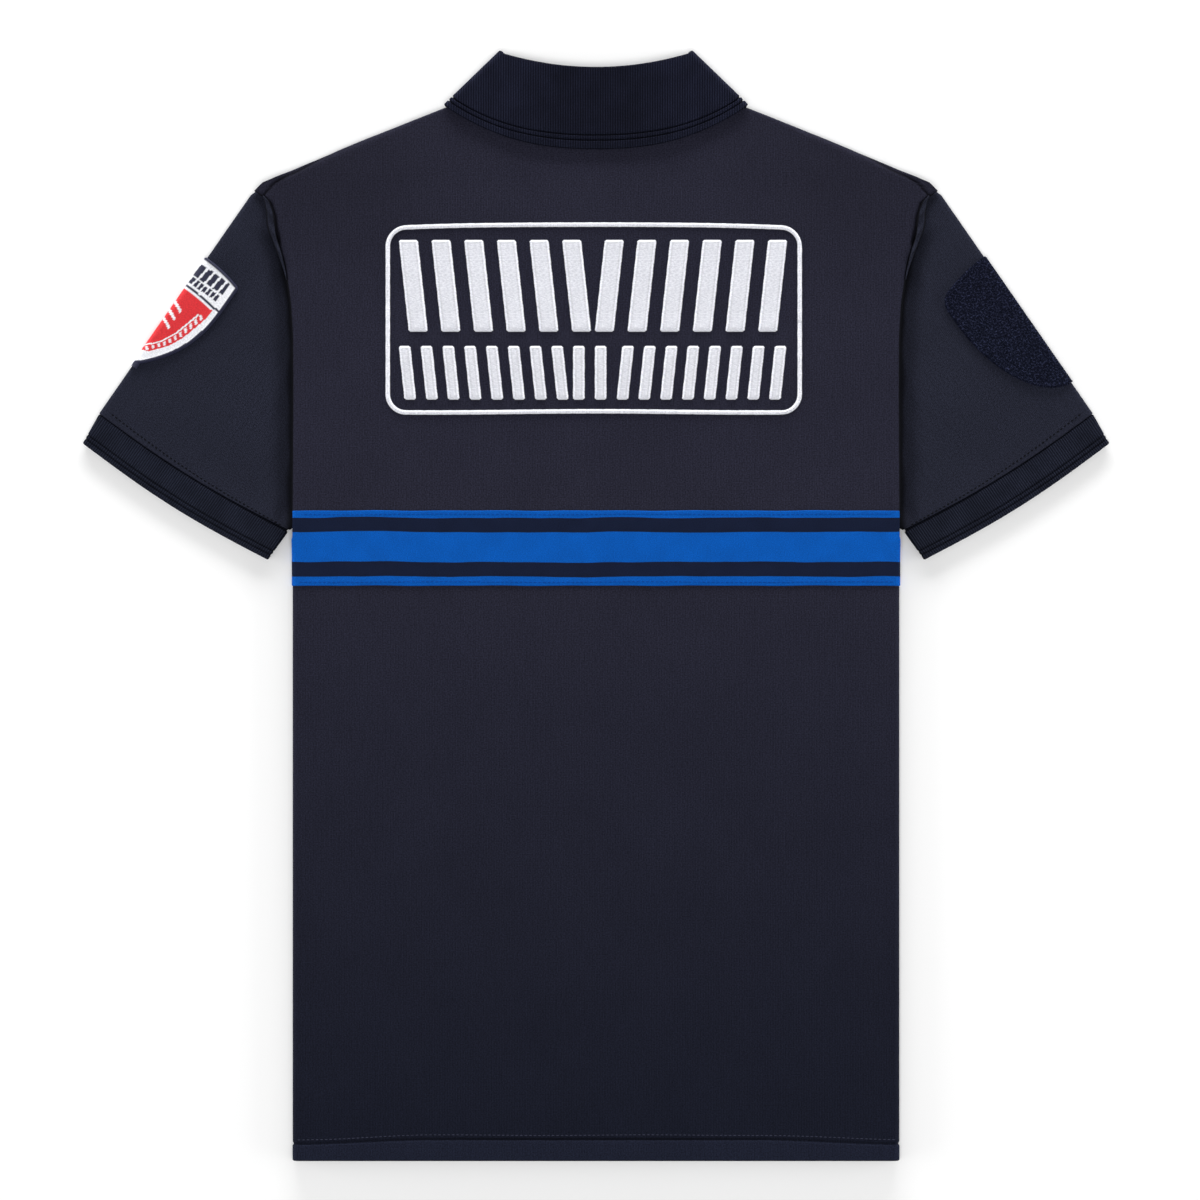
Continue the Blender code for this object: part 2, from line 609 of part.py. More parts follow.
# ------------------------------------------------------------ back marking
def frame_line(angles, inset):
    """Plan points of the marking's rounded frame, moved in by inset."""
    half, corner = FRAME_HALF - inset, FRAME_CORNER - inset
    middle = (FRAME_LOW + FRAME_HIGH) / 2
    rise = (FRAME_HIGH - FRAME_LOW) / 2 - inset
    x_side, y_side = np.sign(np.cos(angles)), np.sign(np.sin(angles))
    local = np.abs(np.arctan2(np.sin(angles), np.abs(np.cos(angles))))
    x = x_side * (half - corner + corner * np.cos(local))
    y = y_side * (rise - corner + corner * np.sin(local))
    arch = np.where(y > 0, FRAME_ARCH * (1 - (x / FRAME_HALF) ** 2), 0.0)
    return FRAME_CENTRE_X + x, middle + y + arch


def build_frame():
    """The marking's outline: a raised line of stitching on the back panel."""
    corner_turns = np.linspace(2.0, 88.0, 5)
    angles = np.radians(np.concatenate([corner_turns + turn for turn in (0.0, 90.0, 180.0, 270.0)]))
    outer_x, outer_y = frame_line(angles, 0.0)
    inner_x, inner_y = frame_line(angles, FRAME_LINE)
    top_middle_index = len(corner_turns)
    lines = []
    for x, y in ((outer_x, outer_y), (inner_x, inner_y)):
        steps = np.linspace(x[top_middle_index - 1], x[top_middle_index], 8)[1:-1]
        edge = np.max(y) - FRAME_ARCH * (1 - ((x[top_middle_index] - FRAME_CENTRE_X) / FRAME_HALF) ** 2)
        arch = edge + FRAME_ARCH * (1 - ((steps - FRAME_CENTRE_X) / FRAME_HALF) ** 2)
        lines.append((np.insert(x, top_middle_index, steps), np.insert(y, top_middle_index, arch)))
    x = np.stack([line[0] for line in lines])
    y = np.stack([line[1] for line in lines])
    upper = stack(x, y, BACK_TOP + GAP + STITCHING)
    lower = stack(x, y, BACK_TOP + GAP)
    wall("marking_frame", upper, lower, WHITE_THREAD, ring=True)


def build_bars():
    """Two rows of slanted stitched bars inside the marking's frame."""
    for row in BAR_ROWS:
        width = (row.right - row.left - row.gap * (row.count - 1) - row.lean) / row.count
        for number in range(row.count):
            left = row.left + (width + row.gap) * number
            from_middle = number - (row.count - 1) / 2
            low_shift = row.lean if from_middle < 0 else 0.0
            high_shift = row.lean if from_middle > 0 else 0.0
            middle_bar = from_middle == 0
            corners = ((left + low_shift, row.low), (left + width + (0.0 if middle_bar else low_shift), row.low),
                       (left + high_shift + (row.lean / 2 if middle_bar else 0.0), row.high),
                       (left + width + high_shift - (row.lean / 2 if middle_bar else 0.0), row.high))
            build_plate(f"marking_bar_{row.name}_{number + 1}", corners,
                        BACK_TOP + GAP + STITCHING, STITCHING, WHITE_THREAD)


# --------------------------------------------------------------------- main
def main():
    """Build the shirt in an empty scene."""
    for old in list(bpy.data.objects):
        bpy.data.objects.remove(old, do_unlink=True)
    for side_name, is_back in (("back", True), ("front", False)):
        build_panel(f"{side_name}_panel", is_back)
        build_band(f"stripe_band_{side_name}", is_back)
    for side_name, side in (("left", -1.0), ("right", 1.0)):
        build_tube(f"sleeve_{side_name}", sleeve_section, SLEEVE_STATIONS, CLOTH, NAVY_KNIT, side)
        build_tube(f"cuff_{side_name}", cuff_section, (0.0, 0.5, 1.0), CUFF_RIB, NAVY_RIB, side)
    build_patch("shield_patch", SHIELD_PATCH, RED_TWILL, -1.0)
    build_patch("loop_patch", LOOP_PATCH, NAVY_LOOP, 1.0)
    build_collar()
    build_placket()
    build_frame()
    build_bars()


main()
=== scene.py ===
"""Looks of the police polo shirt that lies flat with its back up.

Lengths are in millimetres inside the classes and become metres where a mesh is
made. +X is the wearer's right side, +Y points to the collar and +Z points up.
Each cloth piece is a closed wall: an outer face given by two lengths on the
piece, and an inner face that lies the cloth's thickness behind it.
"""

import logging
import math
from collections.abc import Callable, Sequence
from dataclasses import dataclass, field
from enum import Enum
from typing import Protocol

import bpy
import numpy as np
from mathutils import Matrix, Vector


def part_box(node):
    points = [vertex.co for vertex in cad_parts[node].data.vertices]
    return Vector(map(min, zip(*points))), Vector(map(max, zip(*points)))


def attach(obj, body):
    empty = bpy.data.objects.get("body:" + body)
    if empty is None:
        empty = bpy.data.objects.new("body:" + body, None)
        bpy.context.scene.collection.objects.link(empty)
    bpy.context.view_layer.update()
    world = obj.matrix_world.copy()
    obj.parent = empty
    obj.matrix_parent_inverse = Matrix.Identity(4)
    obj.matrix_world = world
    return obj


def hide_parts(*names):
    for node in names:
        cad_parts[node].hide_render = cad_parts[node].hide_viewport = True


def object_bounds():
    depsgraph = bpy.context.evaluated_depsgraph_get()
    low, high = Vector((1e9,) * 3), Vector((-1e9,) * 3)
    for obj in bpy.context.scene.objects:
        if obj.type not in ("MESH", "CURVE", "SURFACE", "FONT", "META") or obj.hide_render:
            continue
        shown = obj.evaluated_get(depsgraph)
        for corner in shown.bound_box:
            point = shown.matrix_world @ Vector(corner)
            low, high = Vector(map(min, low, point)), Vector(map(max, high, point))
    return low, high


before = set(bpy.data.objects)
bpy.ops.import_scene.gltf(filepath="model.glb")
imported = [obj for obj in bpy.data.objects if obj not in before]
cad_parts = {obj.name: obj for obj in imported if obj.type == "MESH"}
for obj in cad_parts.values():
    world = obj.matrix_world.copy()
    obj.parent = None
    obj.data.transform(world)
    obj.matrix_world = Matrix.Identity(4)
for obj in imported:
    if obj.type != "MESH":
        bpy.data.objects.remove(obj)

CAD_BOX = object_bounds()
MILLIMETRE = 0.001
CLOTH_MAP = "cloth"         # lengths on the cloth, in millimetres, kept as UV places
DYE_AND_SHADE = "cloth_dye_and_painted_shade"         # dye colour or painted shade, kept on the mesh points
ROOT = "root"
SMALL_STEP = 0.01           # step between two places that give a surface's slope
NOISE_RANGE = (0.3, 0.7)    # most of the noise lies between these values
SURFACE_LIFT = 0.02         # least height of cloth over the surface, and of thread over the cloth

Numbers = np.ndarray
Surface = Callable[[Numbers, Numbers], Numbers]
Colour = tuple[float, float, float]
Place = tuple[float, float]
Path = tuple[Place, ...]
Material = bpy.types.Material
Piece = bpy.types.Object

log = logging.getLogger("polo_shirt")


class Face(Enum):
    """The two sides of the shirt."""

    BACK = "back"
    FRONT = "front"


class Hand(Enum):
    """The wearer's left and right, as the sign of x."""

    LEFT = -1.0
    RIGHT = 1.0

    @property
    def label(self) -> str:
        """Lower-case name, as the nodes use it."""
        return self.name.lower()


class Slot(Enum):
    """Material slots of the part."""

    KNIT = "navy_knit"
    RIB = "navy_rib"
    TAPE = "stripe_tape"
    SATIN = "white_stitching"
    TWILL = "shield_twill"
    PILE = "loop_pile"
    BUTTON = "button_plastic"


class Held(Enum):
    """How a sheet of cloth is held."""

    LAID = "laid"
    FOLDED = "folded"


# ------------------------------------------------------------------ helpers
def node_box(node: str) -> Numbers:
    """Lowest and highest corner of a node, in millimetres."""
    return np.array([list(corner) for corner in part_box(node)], float) / MILLIMETRE


def srgb(red: float, green: float, blue: float) -> Colour:
    """Linear colour from display values of 0 to 255."""
    values = np.array((red, green, blue)) / 255.0
    linear = np.where(values <= 0.04045, values / 12.92, ((values + 0.055) / 1.055) ** 2.4)
    return tuple(float(value) for value in linear)


def clipped(value: Numbers) -> Numbers:
    """The value kept between 0 and 1."""
    return np.clip(value, 0.0, 1.0)


def smooth(value: Numbers | float, start: float, end: float) -> Numbers:
    """0 at start, 1 at end, an S-curve between them; start may be the larger one."""
    share = clipped((value - start) / (end - start))
    return share * share * (3.0 - 2.0 * share)


def bell(value: Numbers, middle: float, reach: float) -> Numbers:
    """1 at the middle and 0 from reach on, on both sides."""
    return smooth(np.abs(value - middle), reach, 0.0)


def round_edge(distance: Numbers, radius: float) -> Numbers:
    """How far a rounded edge has dropped at a distance inside it."""
    inside = np.clip(radius - distance, 0.0, radius)
    return radius - np.sqrt(radius ** 2 - inside ** 2)


def stack(x: Numbers | float, y: Numbers | float, z: Numbers | float) -> Numbers:
    """One array of points from three arrays of coordinates."""
    return np.stack(np.broadcast_arrays(x, y, z), axis=-1).astype(float)


def pair(x: Numbers | float, y: Numbers | float) -> Numbers:
    """One array of places from two arrays of coordinates."""
    return stack(x, y, 0.0)[..., :2]


def unit(vectors: Numbers) -> Numbers:
    """The vectors at length 1."""
    return vectors / np.linalg.norm(vectors, axis=-1, keepdims=True)


def above(points: Numbers, height: float) -> Numbers:
    """The points, none of them lower than a height."""
    return stack(points[..., 0], points[..., 1], np.maximum(points[..., 2], height))


def table_line(rows: Sequence[Place], value: Numbers) -> Numbers:
    """Second column of a two-column table, read between its rows."""
    return np.interp(value, [row[0] for row in rows], [row[1] for row in rows])


def pulled_curve(start: Place, pull: Place, end: Place, share: Numbers) -> Numbers:
    """A curve from start to end, bent towards the pull point."""
    share = share[..., None]
    return (np.array(start) * (1 - share) ** 2 + np.array(pull) * 2 * share * (1 - share)
            + np.array(end) * share ** 2)


def graded(*runs: tuple[float, float, float]) -> Numbers:
    """Rising values through runs of (start, end, longest step)."""
    values = [np.linspace(start, end, max(2, math.ceil((end - start) / step) + 1))
              for start, end, step in runs]
    return np.unique(np.concatenate(values).round(6))


def edged(low: float, high: float, rim: float, fine: float, coarse: float, beyond: float = 0.0) -> Numbers:
    """Rising values, close together near both ends; with beyond, one more past each end."""
    inside = graded((low, low + rim, fine), (low + rim, high - rim, coarse), (high - rim, high, fine))
    return np.concatenate(([low - beyond], inside, [high + beyond])).round(6) if beyond else inside


def both_ways(values: Numbers) -> Numbers:
    """The values with their negatives in front, zero once."""
    return np.unique(np.concatenate((-values, values)))


def face_normals(surface: Surface, first: Numbers, second: Numbers,
                 step: float = SMALL_STEP) -> Numbers:
    """Unit normals of a surface, from small steps kept inside its ends.

    Args:
        surface: gives a point for two arrays of lengths on the piece.
        first: first length of each point.
        second: second length of each point.
        step: size of the small steps.

    Returns:
        One unit vector for each point.
    """
    (first_low, first_high), (second_low, second_high) = (
        (np.maximum(place - step, place.min()), np.minimum(place + step, place.max()))
        for place in (first, second))
    return unit(np.cross(surface(first_high, second) - surface(first_low, second),
                         surface(first, second_high) - surface(first, second_low)))


def path_distance(x: Numbers, y: Numbers, path: Sequence[Place]) -> Numbers:
    """Shortest distance in plan from each point to a path of straight pieces."""
    nearest = np.full(np.shape(x), np.inf)
    for (x1, y1), (x2, y2) in zip(path[:-1], path[1:]):
        dx, dy = x2 - x1, y2 - y1
        share = clipped(((x - x1) * dx + (y - y1) * dy) / (dx * dx + dy * dy))
        nearest = np.minimum(nearest, np.hypot(x - x1 - share * dx, y - y1 - share * dy))
    return nearest


@dataclass(frozen=True)
class SoftWaves:
    """Slow ups and downs of cloth that was smoothed out by hand."""

    seed: int
    height: float
    shortest: float
    longest: float
    count: int = 9

    def at(self, x: Numbers, y: Numbers) -> Numbers:
        """Height of the waves at places in plan."""
        picks = np.random.default_rng(self.seed)
        total = np.zeros(np.shape(x))
        for _ in range(self.count):
            length = picks.uniform(self.shortest, self.longest)
            heading, phase = picks.uniform(0.0, math.tau, 2)
            total += np.sin(math.tau * (x * math.cos(heading) + y * math.sin(heading)) / length + phase)
        return total * self.height / math.sqrt(self.count)


@dataclass(frozen=True)
class Crease:
    """One soft ridge, or trough where height is below 0, along a path in plan."""

    path: Path
    height: float
    reach: float

    def at(self, x: Numbers, y: Numbers) -> Numbers:
        """Height that the crease adds at places in plan."""
        return self.height * smooth(path_distance(x, y, self.path), self.reach, 0.0)


@dataclass(frozen=True)
class SeamLine:
    """A sewn groove of the panel along a path in plan, the same on both sides."""

    path: Path
    depth: float
    reach: float
    dark: float                         # how much painted shade darkens the groove, and how far that reaches
    dark_reach: float
    fade: Place = (-1.0, 0.0)           # from the middle: where it starts, and where it is full

    def at(self, reach: Numbers, y: Numbers, width: float) -> Numbers:
        """1 in the groove, 0 from width on beside it."""
        return bell(path_distance(reach, y, self.path), 0.0, width) * smooth(reach, *self.fade)


# ------------------------------------------------------------------- meshes
@dataclass
class Shell:
    """Points, four-cornered faces and cloth places of a mesh, in millimetres."""

    points: Numbers
    faces: Numbers
    cloth: Numbers
    dye_and_shade: Numbers | None = None

    def __post_init__(self) -> None:
        """Leave the cloth undyed and unshaded where no colour is given."""
        if self.dye_and_shade is None:
            self.dye_and_shade = np.ones((len(self.points), 3))

    @classmethod
    def wall(cls, outer: Numbers, inner: Numbers, cloth: Numbers, ring: bool = False,
             keep: Numbers | None = None, dye_and_shade: Numbers | None = None) -> "Shell":
        """Close two matching grids of points into one solid wall.

        Args:
            outer: rows by columns of points on the outer face.
            inner: the same points on the inner face.
            cloth: rows by columns of two lengths on the cloth.
            ring: whether the last column joins the first one.
            keep: which cells are cloth; the others are left out.
            dye_and_shade: rows by columns of dye colours, or of plain painted shade values.

        Returns:
            A shell with a wall across every open side.
        """
        rows, columns = outer.shape[:2]
        index = np.arange(rows * columns).reshape(rows, columns)
        after = np.roll(index, -1, axis=1)
        if not ring:
            index, after = index[:, :-1], after[:, :-1]
        cells = np.stack((index[:-1], after[:-1], after[1:], index[1:]), axis=-1)
        cells = cells.reshape(-1, 4) if keep is None else cells[keep]
        under = rows * columns
        starts, ends = cells.ravel(), np.roll(cells, -1, axis=1).ravel()
        is_open = ~np.isin(starts * under + ends, ends * under + starts)
        starts, ends = starts[is_open], ends[is_open]
        sides = np.stack((ends, starts, starts + under, ends + under), axis=-1)
        faces = np.concatenate((cells, cells[:, ::-1] + under, sides))
        points = np.concatenate((outer.reshape(-1, 3), inner.reshape(-1, 3)))
        cloth = np.tile(cloth.reshape(-1, 2), (2, 1))
        dye_and_shade = np.ones((rows, columns)) if dye_and_shade is None else dye_and_shade
        dye_and_shade = dye_and_shade if dye_and_shade.ndim == 3 else np.repeat(dye_and_shade[..., None], 3, axis=-1)
        dye_and_shade = np.tile(dye_and_shade.reshape(-1, 3), (2, 1))
        used, faces = np.unique(faces, return_inverse=True)
        return cls(points[used], faces.reshape(-1, 4), cloth[used], dye_and_shade[used]).outwards()

    @classmethod
    def joined(cls, shells: Sequence["Shell"]) -> "Shell":
        """Several shells as one."""
        starts = np.cumsum([0] + [len(shell.points) for shell in shells[:-1]])
        faces = np.concatenate([shell.faces + start for shell, start in zip(shells, starts)])
        points, cloth, dye_and_shade = (np.concatenate([getattr(shell, part) for shell in shells])
                               for part in ("points", "cloth", "dye_and_shade"))
        return cls(points, faces, cloth, dye_and_shade)

    def outwards(self) -> "Shell":
        """The same shell, its faces turned over if they look inwards."""
        a, b, c, d = (self.points[self.faces[:, corner]] for corner in range(4))
        if np.sum(a * np.cross(b, c)) + np.sum(a * np.cross(c, d)) < 0:
            self.faces = self.faces[:, ::-1]
        return self

    def piece(self, name: str, *materials: Material) -> Piece:
        """Put the shell in the scene as one named object, in metres."""
        mesh = bpy.data.meshes.new(name)
        mesh.vertices.add(len(self.points))
        mesh.vertices.foreach_set("co", (self.points * MILLIMETRE).astype(np.float32).ravel())
        mesh.loops.add(self.faces.size)
        mesh.loops.foreach_set("vertex_index", self.faces.ravel().astype(np.int32))
        mesh.polygons.add(len(self.faces))
        mesh.polygons.foreach_set("loop_start", np.arange(0, self.faces.size, 4, dtype=np.int32))
        mesh.polygons.foreach_set("use_smooth", np.ones(len(self.faces), dtype=bool))
        places = mesh.uv_layers.new(name=CLOTH_MAP)
        places.data.foreach_set("uv", self.cloth[self.faces.ravel()].astype(np.float32).ravel())
        layer = mesh.color_attributes.new(DYE_AND_SHADE, "FLOAT_COLOR", "POINT")
        colours = np.concatenate((self.dye_and_shade, np.ones((len(self.dye_and_shade), 1))), axis=1)
        layer.data.foreach_set("color", colours.astype(np.float32).ravel())
        mesh.update(calc_edges=True)
        mesh.validate()
        mesh.set_sharp_from_angle(angle=math.radians(50.0))
        for material in materials:
            mesh.materials.append(material)
        piece = bpy.data.objects.new(name, mesh)
        bpy.context.collection.objects.link(piece)
        return piece


def wear(piece: Piece, slot: Slot, *nodes: str) -> Piece:
    """Tie a piece to the part: hide the nodes it stands for and set its body.

    Args:
        piece: the new piece.
        slot: material slot that its finish comes from; not used.
        nodes: part nodes that it replaces; none for added thread.

    Returns:
        The same piece.
    """
    if nodes:
        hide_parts(*nodes)
    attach(piece, ROOT)
    log.info("%s: %d faces", piece.name, len(piece.data.polygons))
    return piece


@dataclass(frozen=True)
class Stitches:
    """Short thread stitches that lie along a line."""

    length: float = 2.2
    width: float = 0.55
    height: float = 0.42
    pitch: float = 3.1

    def along(self, path: Numbers) -> Shell:
        """Lay stitches along a path of points that runs on the cloth.

        Args:
            path: points on the cloth's face, at least two.

        Returns:
            One shell with every stitch.
        """
        steps = np.linalg.norm(np.diff(path, axis=0), axis=1)
        travelled = np.concatenate(([0.0], np.cumsum(steps)))
        middles = np.arange(self.pitch / 2, travelled[-1], self.pitch)

        def at(distance: Numbers) -> Numbers:
            return np.stack([np.interp(distance, travelled, path[:, axis]) for axis in range(3)], axis=-1)

        centre = at(middles)
        heading = at(middles + 0.3) - at(middles - 0.3)
        heading /= np.maximum(np.linalg.norm(heading, axis=1, keepdims=True), 1e-6)
        up = np.broadcast_to((0.0, 0.0, 1.0), heading.shape)
        sideways = np.cross(up, heading)
        sideways /= np.maximum(np.linalg.norm(sideways, axis=1, keepdims=True), 1e-6)
        stations = np.array((-0.5, -0.38, 0.0, 0.38, 0.5))
        fullness = np.array((0.25, 0.8, 1.0, 0.8, 0.25))
        turns = np.arange(6) * math.tau / 6
        centre, heading, sideways, up = (
            vectors[:, None, None] for vectors in (centre, heading, sideways, up))
        points = (centre + heading * (stations * self.length)[None, :, None, None]
                  + sideways * (np.outer(fullness, np.cos(turns)) * self.width / 2)[None, ..., None]
                  + up * (np.outer(fullness, np.sin(turns)) * self.height / 2)[None, ..., None])
        rings = np.arange(30).reshape(5, 6)
        after = np.roll(rings, -1, axis=1)
        sides = np.stack((rings[:-1], after[:-1], after[1:], rings[1:]), axis=-1).reshape(-1, 4)
        one = np.concatenate((sides, [[0, 3, 2, 1], [0, 5, 4, 3], [24, 25, 26, 27], [24, 27, 28, 29]]))
        faces = (one[None] + np.arange(len(middles))[:, None, None] * 30).reshape(-1, 4)
        points = points.reshape(-1, 3)
        return Shell(points, faces, points[:, :2]).outwards()


# ----------------------------------------------------------------- finishes
Socket = bpy.types.NodeSocket
Factor = Socket | float


class Recipe:
    """Short calls that wire one material's nodes."""

    def __init__(self, name: str, roughness: float, specular: float) -> None:
        """Start a material whose unchanging values sit on the shader itself.

        Args:
            name: name of the material.
            roughness: spread of its highlights.
            specular: strength of its highlights.
        """
        self.material = bpy.data.materials.new(name)
        self.material.use_nodes = True
        self.tree = self.material.node_tree
        self.shader = self.tree.nodes["Principled BSDF"]
        self.shader.inputs["Roughness"].default_value = roughness
        self.shader.inputs["Specular IOR Level"].default_value = specular
        places = self.tree.nodes.new("ShaderNodeUVMap")
        places.uv_map = CLOTH_MAP
        self.place = places.outputs["UV"]
        split = self.node("ShaderNodeSeparateXYZ", {"Vector": self.place})
        self.across, self.along = split.outputs["X"], split.outputs["Y"]

    def node(self, kind: str, inputs: dict[str | int, object], **settings: object) -> bpy.types.Node:
        """Add a node, set its options, and set or link its inputs.

        Args:
            kind: Blender's name of the node.
            inputs: a value or a socket for each input.
            settings: options of the node.

        Returns:
            The new node.
        """
        node = self.tree.nodes.new(kind)
        for option, value in settings.items():
            setattr(node, option, value)
        for name, value in inputs.items():
            if isinstance(value, Socket):
                self.tree.links.new(value, node.inputs[name])
            else:
                node.inputs[name].default_value = value
        return node

    def math(self, operation: str, *values: Factor) -> Socket:
        """Result of one arithmetic step."""
        return self.node("ShaderNodeMath", dict(enumerate(values)), operation=operation).outputs[0]

    def times(self, first: Factor, *others: Factor) -> Socket:
        """Product of all the values."""
        for other in others:
            first = self.math("MULTIPLY", first, other)
        return first

    def sum_of(self, first: Socket, first_share: float, second: Socket, second_share: float) -> Socket:
        """Two values added, each by its own share."""
        return self.math("MULTIPLY_ADD", first, first_share, self.times(second, second_share))

    def noise(self, size: float, detail: float = 2.0, stretch: float = 1.0) -> Socket:
        """Noise whose features are size millimetres wide and stretch times as long."""
        where = self.node("ShaderNodeCombineXYZ", {
            "X": self.across, "Y": self.math("DIVIDE", self.along, stretch)}).outputs[0]
        return self.node("ShaderNodeTexNoise", {"Vector": where, "Scale": 1.0 / size, "Detail": detail},
                         noise_dimensions="2D").outputs[0]

    def wave(self, place: Socket, pitch: float, shift: Factor = 0.0) -> Socket:
        """A rounded ridge from 0 to 1 in every pitch millimetres."""
        turns = self.math("MULTIPLY_ADD", place, math.tau / pitch, shift)
        return self.math("MULTIPLY_ADD", self.math("SINE", turns), 0.5, 0.5)

    def spread(self, value: Socket, low: float, high: float, new_low: float, new_high: float) -> Socket:
        """The value moved from one range to another and kept inside it."""
        return self.node("ShaderNodeMapRange", {
            "Value": value, 1: low, 2: high, 3: new_low, 4: new_high}).outputs[0]

    def uneven(self, size: float, change: float, detail: float = 2.0, stretch: float = 1.0) -> Socket:
        """A tone round 1 that changes from place to place, size millimetres across."""
        return self.spread(self.noise(size, detail, stretch), *NOISE_RANGE, 1.0 - change, 1.0 + change)

    def blend(self, factor: Factor, first: object, second: object) -> Socket:
        """Colour between two colours."""
        first, second = (value if isinstance(value, Socket) else (*value, 1.0) for value in (first, second))
        return self.node("ShaderNodeMix", {0: factor, 6: first, 7: second}, data_type="RGBA").outputs[2]

    def stripes(self, factor: Socket, bands: Sequence[tuple[float, Colour]]) -> Socket:
        """Flat colours, each from its own start on."""
        node = self.node("ShaderNodeValToRGB", {"Fac": factor})
        ramp = node.color_ramp
        ramp.interpolation = "CONSTANT"
        for number, (start, colour) in enumerate(bands):
            stop = ramp.elements[number] if number < 2 else ramp.elements.new(start)
            stop.position = start
            stop.color = (*colour, 1.0)
        return node.outputs["Color"]

    def scaled(self, colour: object, factor: Socket) -> Socket:
        """A colour made lighter or darker."""
        return self.node("ShaderNodeVectorMath", {0: colour, "Scale": factor}, operation="SCALE").outputs[0]

    def dyed_and_shaded(self, colour: object, factor: Socket) -> Socket:
        """A colour times the mesh's own dye colour and painted shade, made lighter or darker."""
        dye_and_shade = self.node("ShaderNodeVertexColor", {}, layer_name=DYE_AND_SHADE).outputs["Color"]
        dyed = self.node("ShaderNodeVectorMath", {0: colour, 1: dye_and_shade}, operation="MULTIPLY").outputs[0]
        return self.scaled(dyed, factor)

    def finish(self, colour: Socket, height: Socket, depth: float) -> Material:
        """Join the colour and a relief of the given depth to the shader.

        Args:
            colour: surface colour.
            height: relief from 0 to 1.
            depth: depth of the relief in millimetres.

        Returns:
            The finished material.
        """
        self.tree.links.new(colour, self.shader.inputs["Base Color"])
        bump = self.node("ShaderNodeBump", {
            "Height": height, "Distance": depth * MILLIMETRE, "Strength": 1.0})
        self.tree.links.new(bump.outputs["Normal"], self.shader.inputs["Normal"])
        return self.material


@dataclass(frozen=True)
class KnitFinish:
    """Fine interlock knit: narrow columns of small loops, slightly uneven in tone."""

    name: str
    colour: Colour
    column: float = 1.15
    course: float = 0.85
    lean: float = 2.4                       # how far the loops lean towards their neighbours
    depth: float = 0.15
    tone: float = 0.42
    painted_hem_shade_colour: Colour | None = None        # painted shade: colour at the hem, where less light falls
    fade: Place = (0.0, 1.0)                # heights where the painted shade is full, and where it has faded out

    def material(self) -> Material:
        """Knit with loops along the piece's own lengths."""
        recipe = Recipe(self.name, roughness=0.82, specular=0.05)
        columns = recipe.wave(recipe.across, self.column)
        loops = recipe.wave(recipe.along, self.course, recipe.times(columns, self.lean))
        height = recipe.sum_of(loops, 0.45, columns, 0.55)
        fibres = recipe.uneven(0.95, self.tone, detail=3.0)
        streaks = recipe.uneven(1.8, 0.05, stretch=9.0)
        clouds = recipe.uneven(60.0, 0.04, detail=3.0)
        # Painted shade: the colour darkens towards the hem.
        colour = recipe.blend(recipe.spread(recipe.along, *self.fade, 0.0, 1.0),
                              self.painted_hem_shade_colour or self.colour, self.colour)
        return recipe.finish(recipe.dyed_and_shaded(colour, recipe.times(fibres, streaks, clouds)),
                             height, self.depth)


@dataclass(frozen=True)
class RibFinish:
    """Rib knit: straight ribs along the piece, with painted shade in the grooves between them."""

    name: str
    colour: Colour
    pitch: float = 1.5
    depth: float = 0.42

    def material(self) -> Material:
        """Rib knit whose ribs run along the piece's second length."""
        recipe = Recipe(self.name, roughness=0.88, specular=0.04)
        ribs = recipe.wave(recipe.across, self.pitch)
        loops = recipe.wave(recipe.along, 1.0, recipe.times(ribs, 2.0))
        height = recipe.sum_of(loops, 0.2, ribs, 0.8)
        fibres = recipe.uneven(0.9, 0.28, detail=3.0)
        clouds = recipe.uneven(16.0, 0.14, detail=3.0)
        # Painted shade in the low parts between ribs and loops.
        groove = recipe.times(recipe.spread(ribs, 0.0, 0.7, 0.35, 1.25),
                              recipe.spread(loops, 0.0, 0.6, 0.6, 1.12))
        return recipe.finish(recipe.dyed_and_shaded(self.colour, recipe.times(fibres, clouds, groove)),
                             height, self.depth)


@dataclass(frozen=True)
class TapeFinish:
    """Woven tape in lengthwise stripes, closely ribbed across."""

    name: str
    blue: Colour
    navy: Colour
    low: float
    edges: tuple[float, ...] = (0.0, 6.2, 16.7, 37.7, 47.9)     # start of each stripe
    width: float = 52.9
    wobble: float = 0.9                     # how far the stripes' sides stray
    depth: float = 0.14

    def material(self) -> Material:
        """Stripes that follow the tape's lengths, with slightly wavy sides."""
        recipe = Recipe(self.name, roughness=0.75, specular=0.05)
        wobble = recipe.spread(recipe.noise(70.0, detail=2.5), 0.2, 0.8,
                               -self.wobble - self.low, self.wobble - self.low)
        place = recipe.math("DIVIDE", recipe.math("ADD", recipe.along, wobble), self.width)
        colours = (self.blue, self.navy) * 2 + (self.blue,)
        bands = [(start / self.width, colour) for start, colour in zip(self.edges, colours)]
        weave = recipe.wave(recipe.along, 0.75, recipe.times(recipe.wave(recipe.across, 1.3), 3.0))
        threads = recipe.uneven(0.9, 0.26, detail=3.0, stretch=0.6)
        shade = recipe.times(threads, recipe.uneven(14.0, 0.05))
        return recipe.finish(recipe.scaled(recipe.stripes(place, bands), shade), weave, self.depth)


